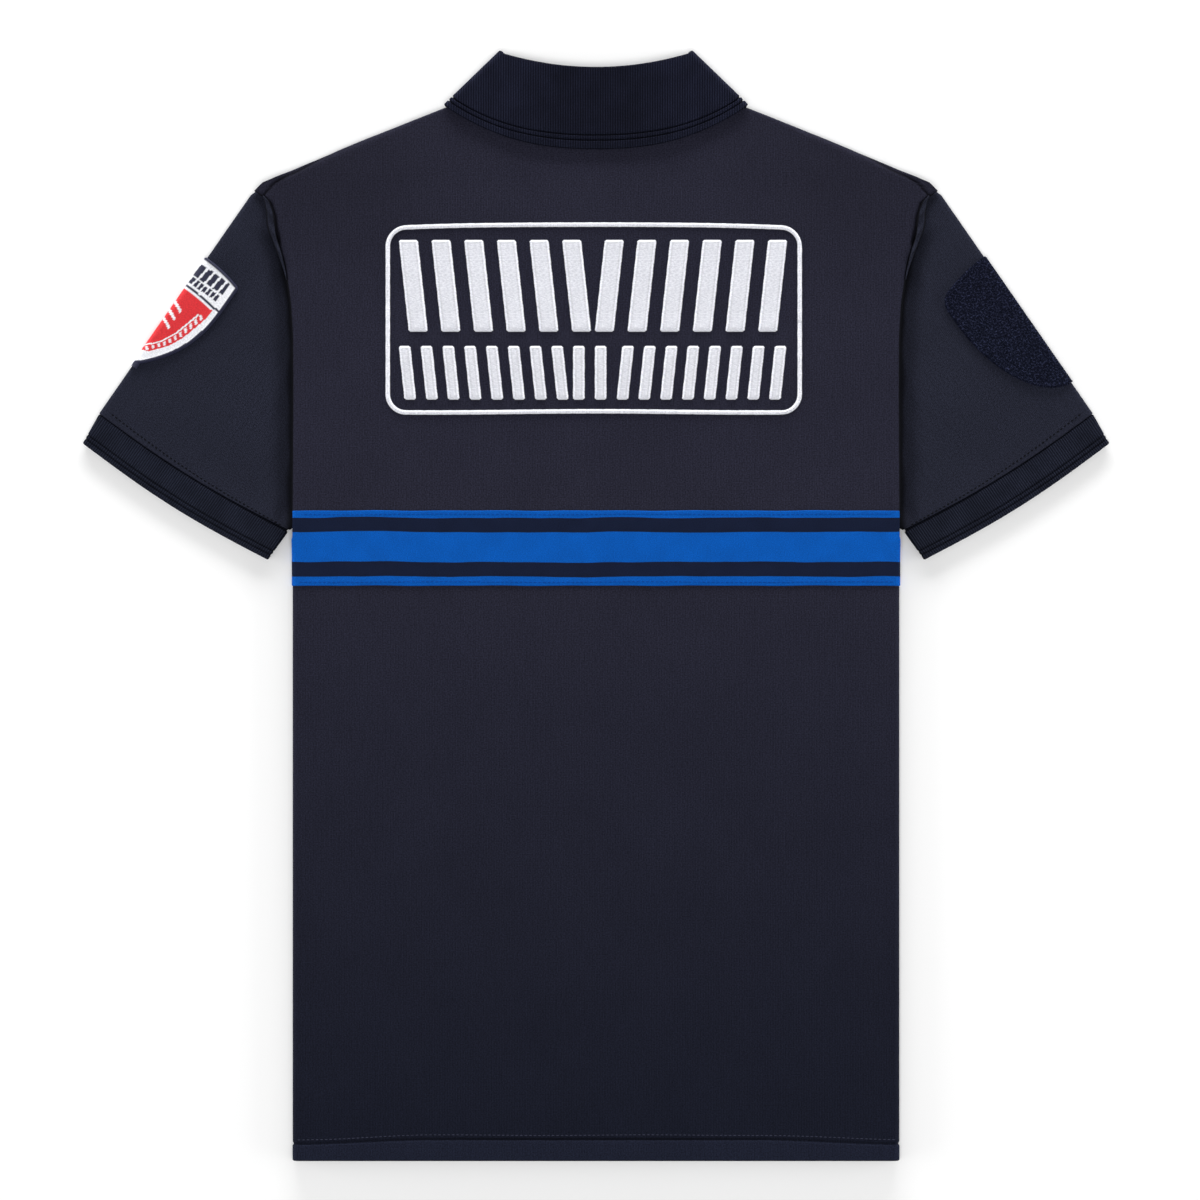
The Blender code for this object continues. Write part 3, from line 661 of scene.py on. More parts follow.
@dataclass(frozen=True)
class SatinFinish:
    """Close satin stitch: glossy threads side by side across the stroke."""

    name: str
    colour: Colour
    shadow: Colour
    pitch: float = 0.75
    slip: float = 7.0                       # how far the threads stray along the stroke
    depth: float = 0.22

    def material(self) -> Material:
        """Threads that lie across the stroke, spaced along it."""
        recipe = Recipe(self.name, roughness=0.45, specular=0.30)
        threads = recipe.wave(recipe.along, self.pitch, recipe.times(recipe.noise(6.0), self.slip))
        uneven = recipe.noise(1.1, detail=3.0, stretch=0.3)
        height = recipe.sum_of(threads, 0.6, uneven, 0.4)
        weave = recipe.spread(recipe.noise(2.0, detail=3.0, stretch=0.5), 0.3, 0.6, 0.0, 1.0)
        cover = recipe.times(recipe.spread(uneven, 0.32, 0.58, 0.2, 1.0), weave,
                             recipe.spread(threads, 0.0, 0.45, 0.5, 1.0))
        colour = recipe.blend(cover, self.shadow, self.colour)
        return recipe.finish(recipe.dyed_and_shaded(colour, recipe.uneven(12.0, 0.03)), height, self.depth)


@dataclass(frozen=True)
class EmbroideryFinish:
    """Stitched picture: every thread has the colour kept on the mesh."""

    name: str
    pitch: float = 0.7
    slant: float = 2.2
    depth: float = 0.2

    def material(self) -> Material:
        """Threads across the patch in the mesh's own colours."""
        recipe = Recipe(self.name, roughness=0.55, specular=0.22)
        threads = recipe.wave(recipe.along, self.pitch, recipe.times(recipe.across, self.slant))
        uneven = recipe.noise(1.1, detail=3.0)
        height = recipe.sum_of(threads, 0.6, uneven, 0.4)
        # Painted shade where the threads and their unevenness lie low.
        shade = recipe.times(recipe.spread(uneven, *NOISE_RANGE, 0.84, 1.10),
                             recipe.spread(threads, 0.0, 0.5, 0.86, 1.0))
        return recipe.finish(recipe.dyed_and_shaded((1.0, 1.0, 1.0), shade), height, self.depth)


@dataclass(frozen=True)
class PileFinish:
    """Loop pile: a mat of tiny curled threads."""

    name: str
    colour: Colour
    lit: Colour
    depth: float = 1.1

    def material(self) -> Material:
        """Curls with painted light on their tops and painted shade in the gaps."""
        recipe = Recipe(self.name, roughness=0.85, specular=0.03)
        bend = recipe.node("ShaderNodeTexNoise", {"Vector": recipe.place, "Scale": 0.5, "Detail": 1.0})
        reach = recipe.node("ShaderNodeVectorMath", {0: bend.outputs["Color"], 1: (2.2, 2.2, 0.0)},
                            operation="MULTIPLY").outputs[0]
        where = recipe.node("ShaderNodeVectorMath", {0: recipe.place, 1: reach}, operation="ADD")
        curls = recipe.node("ShaderNodeTexVoronoi", {"Vector": where.outputs[0], "Scale": 0.5},
                            feature="DISTANCE_TO_EDGE", voronoi_dimensions="2D").outputs["Distance"]
        loops = recipe.spread(curls, 0.03, 0.26, 1.0, 0.0)
        fuzz = recipe.noise(1.5, detail=4.0)
        tops = recipe.times(loops, recipe.spread(fuzz, 0.42, 0.66, 0.0, 1.0))
        colour = recipe.blend(tops, self.colour, self.lit)
        return recipe.finish(recipe.dyed_and_shaded(colour, recipe.uneven(5.0, 0.15)),
                             recipe.sum_of(fuzz, 0.5, loops, 0.5), self.depth)


@dataclass(frozen=True)
class MouldedFinish:
    """Moulded shirt-button plastic with a faint cloudy swirl."""

    name: str
    colour: Colour
    cloud: Colour

    def material(self) -> Material:
        """Smooth plastic with a soft coat."""
        recipe = Recipe(self.name, roughness=0.28, specular=0.5)
        recipe.shader.inputs["Coat Weight"].default_value = 0.3
        recipe.shader.inputs["Coat Roughness"].default_value = 0.12
        swirl = recipe.spread(recipe.noise(3.0, detail=3.0), 0.35, 0.7, 0.0, 1.0)
        return recipe.finish(recipe.blend(swirl, self.colour, self.cloud), recipe.noise(0.5), 0.01)


@dataclass(frozen=True)
class ThreadFinish:
    """Sewing thread, twisted from fine strands."""

    name: str
    colour: Colour

    def material(self) -> Material:
        """Thread with slanted strands."""
        recipe = Recipe(self.name, roughness=0.7, specular=0.05)
        strands = recipe.wave(recipe.across, 0.5, recipe.times(recipe.along, 6.0))
        # Painted shade between the strands.
        shade = recipe.spread(strands, 0.0, 1.0, 0.8, 1.1)
        return recipe.finish(recipe.scaled(self.colour, shade), strands, 0.05)


@dataclass(frozen=True)
class FloorFinish:
    """Smooth pale board."""

    colour: Colour = (0.92, 0.92, 0.92)

    def material(self) -> Material:
        """Matt white with a barely uneven tone."""
        recipe = Recipe("pale_board", roughness=0.9, specular=0.1)
        where = recipe.node("ShaderNodeTexCoord", {}).outputs["Object"]
        speckle = recipe.node("ShaderNodeTexNoise", {"Vector": where, "Scale": 3.0, "Detail": 2.0}).outputs[0]
        shade = recipe.spread(speckle, *NOISE_RANGE, 0.99, 1.0)
        return recipe.finish(recipe.scaled(self.colour, shade), speckle, 0.01)


class Finish(Protocol):
    """Anything that makes its own material."""

    def material(self) -> Material:
        """Make the material."""


def mixed(finish: Finish) -> Material:
    """Field for a material that is made together with the other finishes."""
    return field(default_factory=finish.material)


@dataclass(frozen=True)
class Finishes:
    """Every material of the shirt, made once."""

    # The back and front knit gets painted shade towards the hem.
    knit: Material = mixed(KnitFinish(
        "back_and_front_knit", srgb(34, 34, 47), painted_hem_shade_colour=srgb(18, 21, 33),
        fade=(float(node_box("back_panel")[0, 1]), 60.0)))
    sleeve_knit: Material = mixed(KnitFinish("sleeve_knit", srgb(32, 34, 46)))
    collar_rib: Material = mixed(RibFinish(
        "collar_rib_knit", srgb(18, 20, 33), pitch=1.75))
    cuff_rib: Material = mixed(RibFinish("cuff_rib_knit", srgb(27, 30, 42), pitch=1.7))
    tape: Material = mixed(TapeFinish(
        "striped_tape", srgb(2, 78, 163), srgb(15, 23, 45),
        low=float(node_box("stripe_band_back")[0, 1])))
    satin: Material = mixed(SatinFinish(
        "white_satin_stitch", srgb(237, 238, 244), srgb(205, 206, 215)))
    shield: Material = mixed(EmbroideryFinish("shield_embroidery"))
    pile: Material = mixed(PileFinish(
        "navy_loop_pile", srgb(11, 14, 27), srgb(41, 45, 68)))
    button: Material = mixed(MouldedFinish(
        "navy_button_plastic", srgb(26, 28, 44), srgb(48, 50, 68)))
    navy_thread: Material = mixed(ThreadFinish("navy_sewing_thread", srgb(54, 56, 72)))
    dark_thread: Material = mixed(ThreadFinish("dark_sewing_thread", srgb(8, 9, 15)))
    blue_thread: Material = mixed(ThreadFinish("blue_sewing_thread", srgb(5, 56, 132)))


# --------------------------------------------------------------------- body
@dataclass
class Body:
    """Back and front panels, with the stripe band that is sewn on both."""

    top: float = float(node_box("back_panel")[1, 2])
    hem_y: float = float(node_box("back_panel")[0, 1])
    tip_x: float = float(node_box("back_panel")[1, 0])
    band_low: float = float(node_box("stripe_band_back")[0, 1])
    band_high: float = float(node_box("stripe_band_back")[1, 1])
    cloth: float = 1.1
    gap: float = 0.3                    # room between two layers that are sewn together
    half_width: float = 214.0           # below the armholes
    side_curl: float = 4.0
    hem_depth: float = 15.5
    hem_dip: float = 3.3                # how far the hem's seam sinks towards the sides
    hem_tone: float = 1.5               # how much paler the turned hem is
    hem_extra: float = 0.7              # the turned hem's second layer
    hem_groove: float = 0.55            # depth of the hem's seam, and how much of it comes and goes
    hem_pucker: float = 0.25
    pucker_pitch: float = 6.3
    hem_rise: float = 0.15
    armhole_low: Place = (50.0, 60.0)   # the armhole's edge comes up between these heights
    armhole_roll: float = 0.3
    # painted shade along the armhole's rolled edge
    armhole_painted_shade: float = 0.3
    shoulder_painted_shade: float = 0.17         # painted shade, a little darker towards the shoulders
    hem_thread: Stitches = Stitches(length=1.9, width=0.5, pitch=3.2)
    hem_thread_rise: float = 18.4
    hem_thread_reach: float = 211.0
    tape_thread: Stitches = Stitches(length=2.3, width=0.5, height=0.35, pitch=3.3)
    tape_thread_inset: float = 2.6
    tape_thread_reach: float = 209.5
    chest_y: float = 84.0               # rows are straight below this height and bend above it
    chest_span: float = 100.0
    seam_open_y: float = 48.0
    seam_closed_y: float = 34.0
    shoulder_curl: float = 1.6
    neck_half: float = 88.0
    neck_y: float = 359.0
    neck_drops: dict[Face, float] = field(default_factory=lambda: {Face.BACK: 9.2, Face.FRONT: 83.0})
    notch_half: float = 12.7
    notch_share: float = 0.21875
    tape: float = 0.55
    tape_gap: float = 0.1
    tape_cover: float = 0.9             # how far the front panel rises over its tape
    tape_fade: float = 12.0
    leaf_lift: float = 2.75
    placket_lift: float = 3.3
    armhole: Path = (                   # height and half width of the panels
        (52.0, 214.0), (150.0, 213.4), (190.0, 213.6), (213.0, 215.0), (241.0, 219.0),
        (263.5, 225.3), (280.0, 230.0), (288.1, 234.8), (292.6, 241.0))
    shoulder: Path = ((88.0, 359.0), (107.7, 350.9), (160.0, 330.3), (208.4, 310.0),
                      (235.1, 298.5), (241.0, 292.6))
    seams: tuple[SeamLine, ...] = (     # behind the shoulder, over its tip and down the armhole
        SeamLine(((170.0, 327.5), (196.0, 314.5), (209.4, 307.0), (219.1, 302.7), (227.2, 297.8),
                  (230.9, 294.0), (233.9, 290.0), (234.5, 288.5)), 0.75, 1.4, 0.75, 1.7, (176.0, 206.0)),
        SeamLine(((234.5, 288.5), (241.6, 292.4)), 0.6, 1.1, 0.85, 1.5),
        SeamLine(((234.5, 288.5), (228.8, 283.7), (226.1, 274.6), (225.0, 266.0), (222.6, 256.0)),
                 0.75, 1.5, 0.8, 1.8),
    )
    waves: SoftWaves = SoftWaves(seed=23, height=0.30, shortest=70.0, longest=260.0)
    ripples: SoftWaves = SoftWaves(seed=5, height=0.07, shortest=14.0, longest=38.0)
    creases: tuple[Crease, ...] = (
        Crease(((-205.0, 236.0), (-170.0, 205.0), (-160.0, 150.0)), 0.35, 22.0),
        Crease(((205.0, 236.0), (172.0, 200.0), (164.0, 140.0)), 0.35, 22.0),
        Crease(((-60.0, 300.0), (-150.0, 290.0)), -0.25, 20.0),
        Crease(((60.0, 300.0), (150.0, 290.0)), -0.25, 20.0),
        Crease(((-196.0, -80.0), (-190.0, -240.0), (-196.0, -360.0)), 0.45, 20.0),
        Crease(((196.0, -60.0), (188.0, -220.0), (196.0, -360.0)), 0.45, 20.0),
        Crease(((-20.0, -120.0), (10.0, -360.0)), -0.3, 40.0),
    )

    def edge_x(self, y: Numbers) -> Numbers:
        """Half width of the panels beside the armhole."""
        return table_line(self.armhole, y)

    def front_height(self, x: Numbers, y: Numbers) -> Numbers:
        """Height of the front panel's outer, lower face: it rises over what lies under it."""
        reach = np.abs(x)
        band = self.tape_cover * (smooth(y, self.band_low - self.tape_fade, self.band_low)
                                  * smooth(y, self.band_high + self.tape_fade, self.band_high))
        leaves = self.leaf_lift * smooth(y, 195.0, 212.0) * smooth(reach, 155.0, 122.0)
        placket = self.placket_lift * smooth(y, 92.0, 106.0) * smooth(reach, 40.0, 18.0)
        return np.maximum(np.maximum(band, leaves), placket)

    def point(self, column: Numbers, row: Numbers, face: Face) -> Numbers:
        """Point on a panel's outer face.

        Args:
            column: distance from the middle of the hem; the last of it rolls over the side seam.
            row: height up to the chest, then share of the way to the shoulder seam and over it.
            face: back or front panel.

        Returns:
            Points in millimetres.
        """
        side, across = np.sign(column), np.abs(column)
        quarter, curl_start = math.pi / 2, self.half_width - self.side_curl
        side_angle = quarter * clipped((across - curl_start) / self.side_curl)
        reach = np.minimum(across, curl_start) + self.side_curl * np.sin(side_angle)
        share = clipped((row - self.chest_y) / self.chest_span)
        top_angle = quarter * clipped((row - self.chest_y - self.chest_span) / self.side_curl)
        widening = np.maximum(reach - self.neck_half, 0.0) / (self.half_width - self.neck_half)

        def chest_row(top: Numbers | float, curl: Numbers | float) -> Numbers:
            return self.chest_y + (top - curl - self.chest_y) * share + curl * np.sin(top_angle)

        edge_y = np.where(row < self.chest_y, row, chest_row(self.shoulder[-1][1], self.side_curl))
        inside = np.minimum(reach, self.neck_half)
        x = inside + widening * (self.edge_x(edge_y) - self.neck_half)
        top_x = inside + widening * (self.tip_x - self.neck_half)
        neck_arc = np.sqrt(clipped(1.0 - (top_x / self.neck_half) ** 2))
        neckline = self.neck_y - self.neck_drops[face] * neck_arc
        top = np.where(top_x < self.neck_half, neckline, table_line(self.shoulder, top_x))
        curl = self.shoulder_curl + (self.side_curl - self.shoulder_curl) * smooth(top_x, 122.0, 155.0)
        y = np.where(row < self.chest_y, row, chest_row(top, curl))
        low = self.front_height(x, y)
        own = self.top if face is Face.BACK else low
        seam = (self.top + low) / 2 + (self.gap / 2 if face is Face.BACK else -self.gap / 2)
        side_roll = (1.0 - np.cos(side_angle)) * smooth(y, self.seam_open_y, self.seam_closed_y)
        shoulder_roll = (1.0 - np.cos(top_angle)) * smooth(x, self.neck_half, 100.0) * smooth(x, 226.0, 212.0)
        return stack(side * x, y, own + (seam - own) * clipped(side_roll + shoulder_roll))

    def wave(self, x: Numbers, y: Numbers, face: Face) -> Numbers:
        """Height of the soft waves and creases; the front panel is pressed flat by what lies on it."""
        if face is Face.FRONT:
            return np.zeros(np.shape(x))
        calm = (smooth(np.abs(x), 211.0, 176.0) * smooth(y, 345.0, 296.0)
                * smooth(y, self.hem_y, self.hem_y + 40.0))
        return calm * sum(kind.at(x, y) for kind in (self.waves, self.ripples, *self.creases))

    def hem_line(self, x: Numbers) -> Numbers:
        """Place of the hem's seam."""
        return self.hem_y + self.hem_depth - self.hem_dip * smooth(np.abs(x), 115.0, 215.0)

    def relief(self, x: Numbers, y: Numbers, face: Face) -> Numbers:
        """Seams, hem groove and rounded edges, measured outwards from the smooth panel."""
        reach = np.abs(x)
        pucker = 0.5 + 0.5 * np.sin(x * math.tau / self.pucker_pitch + 2.0 * np.sin(x / 17.0))
        above_hem = y - self.hem_line(x)
        groove = -(self.hem_groove + self.hem_pucker * pucker) * bell(above_hem, 0.0, 1.7)
        turned = self.hem_rise * smooth(above_hem, 0.0, -2.0)
        hem_edge = -round_edge(y - self.hem_y, 1.0)
        beside = self.edge_x(y) - reach
        armhole_edge = (self.armhole_roll * bell(beside, 4.2, 4.0) - 0.85 * round_edge(beside, 1.0)
                        ) * smooth(y, *self.armhole_low)
        relief = groove + turned + hem_edge + armhole_edge
        if face is Face.BACK:
            return relief - sum(seam.depth * seam.at(reach, y, seam.reach) for seam in self.seams)
        return np.minimum(relief, self.front_height(x, y))

    def painted_seam_shade(self, x: Numbers, y: Numbers, face: Face) -> Numbers:
        """Painted shade in the seams, the hem groove, along the armhole and towards the shoulders, and the
        paler turned hem: 1 on open cloth.
        """
        reach = np.abs(x)
        above_hem = y - self.hem_line(x)
        shade = 1.0 + (self.hem_tone - 1.0) * smooth(above_hem, 0.5, -0.5)
        # Painted shade in the hem's groove.
        shade = shade * (1.0 - (0.6 - 0.3 * smooth(reach, 60.0, 190.0)) * bell(above_hem, 0.0, 1.5))
        if face is Face.BACK:
            # Painted shade in the sewn grooves.
            for seam in self.seams:
                shade = shade * (1.0 - seam.dark * seam.at(reach, y, seam.dark_reach))
            # Painted shade along the armhole's edge and towards the shoulders.
            armhole = smooth(self.edge_x(y) - reach, 1.2, 0.0) * smooth(y, *self.armhole_low)
            shoulder = smooth(reach, 70.0, 180.0) * smooth(y, 200.0, 290.0)
            shade = shade * (1.0 - self.armhole_painted_shade * armhole) * (1.0 - self.shoulder_painted_shade * shoulder)
        return shade

    def moved(self, columns: Numbers, rows: Numbers, face: Face, offset: Numbers) -> Numbers:
        """Grid of points on a panel's outer face, moved outwards by offset."""
        def surface(column: Numbers, row: Numbers) -> Numbers:
            return self.point(column, row, face)

        outwards = face_normals(surface, columns, rows) * (1.0 if face is Face.BACK else -1.0)
        return surface(columns, rows) + outwards * offset[..., None]

    def columns(self) -> Numbers:
        """Columns from the left side to the right one, close together where seams run."""
        neck = self.neck_half * np.sin(np.radians(np.linspace(0.0, 90.0, 25)))
        flat = graded((self.neck_half, 170.0, 3.2), (170.0, 190.0, 1.6), (190.0, 210.0, 0.9))
        roll = graded((210.0, self.half_width, 0.5))
        return both_ways(np.unique(np.concatenate((neck, [self.notch_half], flat, roll)).round(6)))

    def rows(self, face: Face) -> Numbers:
        """Rows from the hem to the end of the shoulder's roll, fewer on the hidden front."""
        spacing = 1.0 if face is Face.BACK else 2.2
        hem = graded((self.hem_y, self.hem_y + 2.0, 0.4), (self.hem_y + 2.0, self.hem_y + 10.4, 2.2),
                     (self.hem_y + 10.4, self.hem_y + 18.0, 0.45),
                     (self.hem_y + 18.0, self.chest_y, 4.2 * spacing))
        chest = graded((0.0, self.notch_share, 0.016 * spacing), (self.notch_share, 0.84, 0.016 * spacing),
                       (0.84, 1.0, 0.0058 * spacing))
        roll = graded((0.0, self.side_curl, 0.6))
        return np.unique(np.concatenate((hem, self.chest_y + chest * self.chest_span,
                                         self.chest_y + self.chest_span + roll)).round(6))

    def make_panel(self, face: Face, material: Material) -> Piece:
        """One body panel; the front one has a notch for the placket."""
        column_values, row_values = self.columns(), self.rows(face)
        columns, rows = np.meshgrid(column_values, row_values)
        plan = self.point(columns, rows, face)
        x, y = plan[..., 0], plan[..., 1]
        hem = smooth(rows - self.hem_line(x), 1.0, 0.0)
        thickness = self.cloth + self.hem_extra * hem * smooth(np.abs(columns), 209.0, 200.0)
        wave = self.wave(x, y, face)
        outer = self.moved(columns, rows, face, wave + self.relief(x, y, face))
        inner = self.moved(columns, rows, face, wave - thickness)
        middles = (column_values[1:] + column_values[:-1]) / 2
        starts = row_values[:-1] >= self.chest_y + self.notch_share * self.chest_span - 0.001
        keep = ~(starts[:, None] & (np.abs(middles) < self.notch_half)[None, :])
        if face is Face.BACK:
            keep[:] = True
        shell = Shell.wall(outer, inner, pair(x, y), keep=keep, dye_and_shade=self.painted_seam_shade(x, y, face))
        piece = wear(shell.piece(f"{face.value}_panel_knit", material), Slot.KNIT, f"{face.value}_panel")
        return piece

    def make_band(self, face: Face, material: Material) -> Piece:
        """Woven stripe band on one panel, made from the panel's own points moved out."""
        columns, rows = np.meshgrid(self.columns(), edged(self.band_low, self.band_high, 1.2, 0.3, 2.5))
        plan = self.point(columns, rows, face)
        x, y = plan[..., 0], plan[..., 1]
        edge = np.minimum(rows - self.band_low, self.band_high - rows)
        pull = 0.25 * np.sin(x / 9.0) * np.sin(x / 31.0) * smooth(edge, 3.0, 0.0)
        base = self.wave(x, y, face) + self.relief(x, y, face)
        base = base + self.tape_gap
        outer = self.moved(columns, rows, face, base + self.tape - 0.8 * round_edge(edge, 0.6))
        inner = self.moved(columns, rows, face, base)
        outer[..., 1] += pull
        inner[..., 1] += pull
        outer = above(outer, SURFACE_LIFT)
        piece = Shell.wall(outer, inner, pair(x, y)).piece(f"stripe_tape_{face.value}", material)
        wear(piece, Slot.TAPE, f"stripe_band_{face.value}")
        return piece

    def stitch_row(self, y: float, face: Face, lift: float, stitches: Stitches, reach: float) -> Shell:
        """A row of stitches across a panel."""
        x = np.linspace(-reach, reach, 200)
        y_line = y + 0.25 * np.sin(x / 23.0)
        if y < self.band_low:
            y_line = y_line + self.hem_line(x) - self.hem_line(0.0)
        if face is Face.BACK:
            height = self.top + self.wave(x, y_line, face) + lift
        else:
            height = np.maximum(self.front_height(x, y_line) - lift, stitches.height / 2)
        return stitches.along(stack(x, y_line, height))

    def dress(self, finishes: Finishes) -> None:
        """Make both panels, both bands and their stitching."""
        for face in Face:
            self.make_panel(face, finishes.knit)
            self.make_band(face, finishes.tape)
            hem = self.stitch_row(self.hem_y + self.hem_thread_rise, face, SURFACE_LIFT, self.hem_thread,
                                  self.hem_thread_reach)
            wear(hem.piece(f"hem_stitches_{face.value}", finishes.navy_thread), Slot.KNIT)
            rows = [self.stitch_row(height, face, self.tape_gap + self.tape + SURFACE_LIFT,
                                    self.tape_thread, self.tape_thread_reach)
                    for height in (self.band_low + self.tape_thread_inset,
                                   self.band_high - self.tape_thread_inset)]
            wear(Shell.joined(rows).piece(f"tape_stitches_{face.value}", finishes.blue_thread), Slot.TAPE)


# ------------------------------------------------------------------ sleeves
@dataclass
class Sleeve:
    """One sleeve with its cuff: two flattened tubes in line."""

    hand: Hand
    body: Body
    cloth: float = 1.1
    rib: float = 1.4
    top: float = 4.6
    under: float = 1.2
    tucked_top: float = 4.7
    tucked_under: float = 2.3
    tuck_start: float = 16.0
    tuck_end: float = 2.0
    outer_start: Place = (243.6, 290.0)     # straight outer fold, from shoulder tip to cuff seam
    outer_end: Place = (350.8, 135.6)
    root_top: Place = (237.0, 294.5)
    root_low: Place = (201.0, 62.0)
    root_inset: float = 9.0
    root_share: float = 0.05
    seam_inner: Place = (216.5, 53.5)
    seam_bow: float = 4.0
    outer_fold: float = 3.0
    inner_fold: float = 2.0
    cuff_outer: Place = (362.6, 114.8)
    cuff_inner: Place = (231.6, 32.4)
    cuff_seam_inner: Place = (217.3, 52.3)
    cuff_drop: float = 1.1
    cuff_grooves: tuple[float, ...] = (4.0, 7.2)
    cuff_tuck: float = 1.8              # how far the cuff goes into the sleeve
    valley: float = 2.0
    welt_rise: float = 0.9
    welt_path: tuple[tuple[float, float, float], ...] = (   # middle of the welt and half its width
        (234.8, 289.2, 0.5), (231.7, 284.2, 1.9), (229.9, 277.4, 2.8), (229.2, 270.3, 3.0),
        (228.2, 264.0, 2.6), (226.0, 257.0, 1.9), (222.8, 248.0, 1.4), (219.9, 238.0, 0.9),
        (218.2, 230.0, 0.4))
    under_sink: float = 0.5
    under_tuck: float = 1.1
    thread: Stitches = Stitches(length=1.8, width=1.1, height=0.3, pitch=3.2)
    thread_station: float = 1.0 - 4.6 / 175.0       # place of the stitches along the sleeve
    across_steps: int = 74
    fold_steps: int = 6
    waves: SoftWaves = SoftWaves(seed=8, height=0.30, shortest=45.0, longest=150.0)

    @property
    def along_axis(self) -> Numbers:
        """Unit vector down the outer fold, on the +X side."""
        return unit(np.subtract(self.outer_end, self.outer_start))

    @property
    def inwards(self) -> Numbers:
        """Unit vector from the outer fold into the sleeve, on the +X side."""
        return np.array((self.along_axis[1], -self.along_axis[0]))

    @property
    def fold_quarter(self) -> float:
        """Cloth round a quarter of the outer fold."""
        return (self.outer_fold + (self.top - self.under) / 2) / 2 * math.pi / 2

    def heights(self, x: Numbers, y: Numbers) -> tuple[Numbers, Numbers]:
        """Lower and upper height of the sleeve, which ends between the two panels."""
        distance = x - self.body.edge_x(y)
        tucked = smooth(distance, self.tuck_start, self.tuck_end)
        sunk = self.under_sink * smooth(distance, 0.0, 2.0) * smooth(distance, 16.0, 4.0)
        sunk = sunk + self.under_tuck * tucked * smooth(distance, 0.0, 2.0)
        return (self.under + (self.tucked_under - self.under) * tucked - sunk,
                self.top + (self.tucked_top - self.top) * tucked)

    def soft_top(self, x: Numbers, y: Numbers) -> Numbers:
        """What the upper layer adds: a valley and a welt beside the body, and slow waves."""
        distance = x - self.body.edge_x(y)
        below_welt = smooth(y, 268.0, 256.0)
        sway = 1.0 + 0.22 * np.sin(y / 9.0) * np.sin(y / 23.0 + 1.0)
        valley = -self.valley * smooth(distance, -0.4, 1.6) * smooth(distance, 17.0 * sway, 2.6)
        calm = smooth(distance, 8.0, 34.0)
        return valley * below_welt + self.waves.at(self.hand.value * x, y) * calm

    def painted_seam_shade(self, points: Numbers) -> Numbers:
        """Painted shade in the valley beside the body and beside the welt, at +X points: 1 on open cloth."""
        x, y = points[..., 0], points[..., 1]
        distance = x - self.body.edge_x(y)
        low = smooth(y, 270.0, 258.0)
        sway = 1.0 + 0.3 * np.sin(y / 8.0 + 0.6) * np.sin(y / 21.0)
        shade = 1.0 - 0.8 * smooth(distance, 5.6 * sway, 1.6) * low
        shade = shade * (1.0 - 0.3 * smooth(distance, 19.0, 4.0) * low)
        welt = smooth(y, 252.0, 262.0) * smooth(y, 291.0, 286.0)
        return shade * (1.0 - 0.35 * smooth(distance, 8.0, 4.0) * welt)

    def flat_loop(self, start: Numbers, end: Numbers, bow: Callable[[Numbers], Numbers],
                  heights: Callable[[Numbers, Numbers], tuple[Numbers, Numbers]],
                  shrink: float, soft: float) -> Numbers:
        """Closed section of a flattened tube between two fold points in plan.

        Args:
            start: outer fold point.
            end: inner fold point.
            bow: sideways shift at shares of the section's width.
            heights: lower and upper height at places in plan.
            shrink: how far the section moves inwards.
            soft: share of the soft top relief that the section takes.

        Returns:
            Points round the section, back first.
        """
        direction = unit(end - start)
        slant = float(np.dot(direction, self.inwards))
        start = start + direction * shrink / slant
        end = end - direction * shrink
        start_fold = max(self.outer_fold - shrink, 0.3) / slant
        end_fold = max(self.inner_fold - shrink, 0.3)
        length = np.linalg.norm(end - start)
        across = start_fold + (length - start_fold - end_fold) * np.linspace(0.0, 1.0, self.across_steps + 1)
        turns = np.radians(np.linspace(90.0, -90.0, 2 * self.fold_steps + 1))[1:-1]
        distances = np.concatenate((across, length - end_fold * (1 - np.cos(turns)),
                                    across[::-1], start_fold * (1 - np.cos(turns))))
        flat = np.ones(len(across))
        tilt = np.concatenate((flat, np.sin(turns), -flat, np.sin(turns[::-1])))
        plan = start + direction * distances[:, None] + bow(distances / length)
        low, high = heights(plan[:, 0], plan[:, 1])
        height = (low + high) / 2 + ((high - low) / 2 - shrink) * tilt
        inside = smooth(np.minimum(distances - start_fold, length - end_fold - distances), 0.0, 14.0)
        height = height + soft * self.soft_top(plan[:, 0], plan[:, 1]) * clipped(tilt) * inside
        return stack(plan[:, 0], plan[:, 1], height)

    def between(self, points: Sequence[Place], places: Sequence[float], value: float) -> Numbers:
        """Point at a value along straight pieces between the given points."""
        points = np.array(points)
        return np.array([np.interp(value, places, points[:, 0]), np.interp(value, places, points[:, 1])])

    def sleeve_section(self, station: float, shrink: float) -> Numbers:
        """Section of the +X sleeve from its hidden end (0) to the cuff seam (1)."""
        outer = self.between((self.root_top, self.outer_start, self.outer_end),
                             (0.0, self.root_share, 1.0), station)
        inner = self.between((self.root_low, self.seam_inner), (0.0, 1.0), station)
        normal = unit(np.array((self.outer_end[1] - self.seam_inner[1],
                                self.seam_inner[0] - self.outer_end[0])))

        def bow(share: Numbers) -> Numbers:
            root_y = outer[1] + (inner[1] - outer[1]) * share
            chord = outer[0] + (inner[0] - outer[0]) * share
            root_shift = ((self.body.edge_x(root_y) - self.root_inset - chord)
                          * smooth(share, 0.0, 0.12) * smooth(share, 1.0, 0.9))
            root = pair(root_shift * (1 - station) ** 3, 0.0)
            return root + normal * (self.seam_bow * station * np.sin(np.pi * share))[:, None]

        return self.flat_loop(outer, inner, bow, self.heights, shrink, soft=1.0)

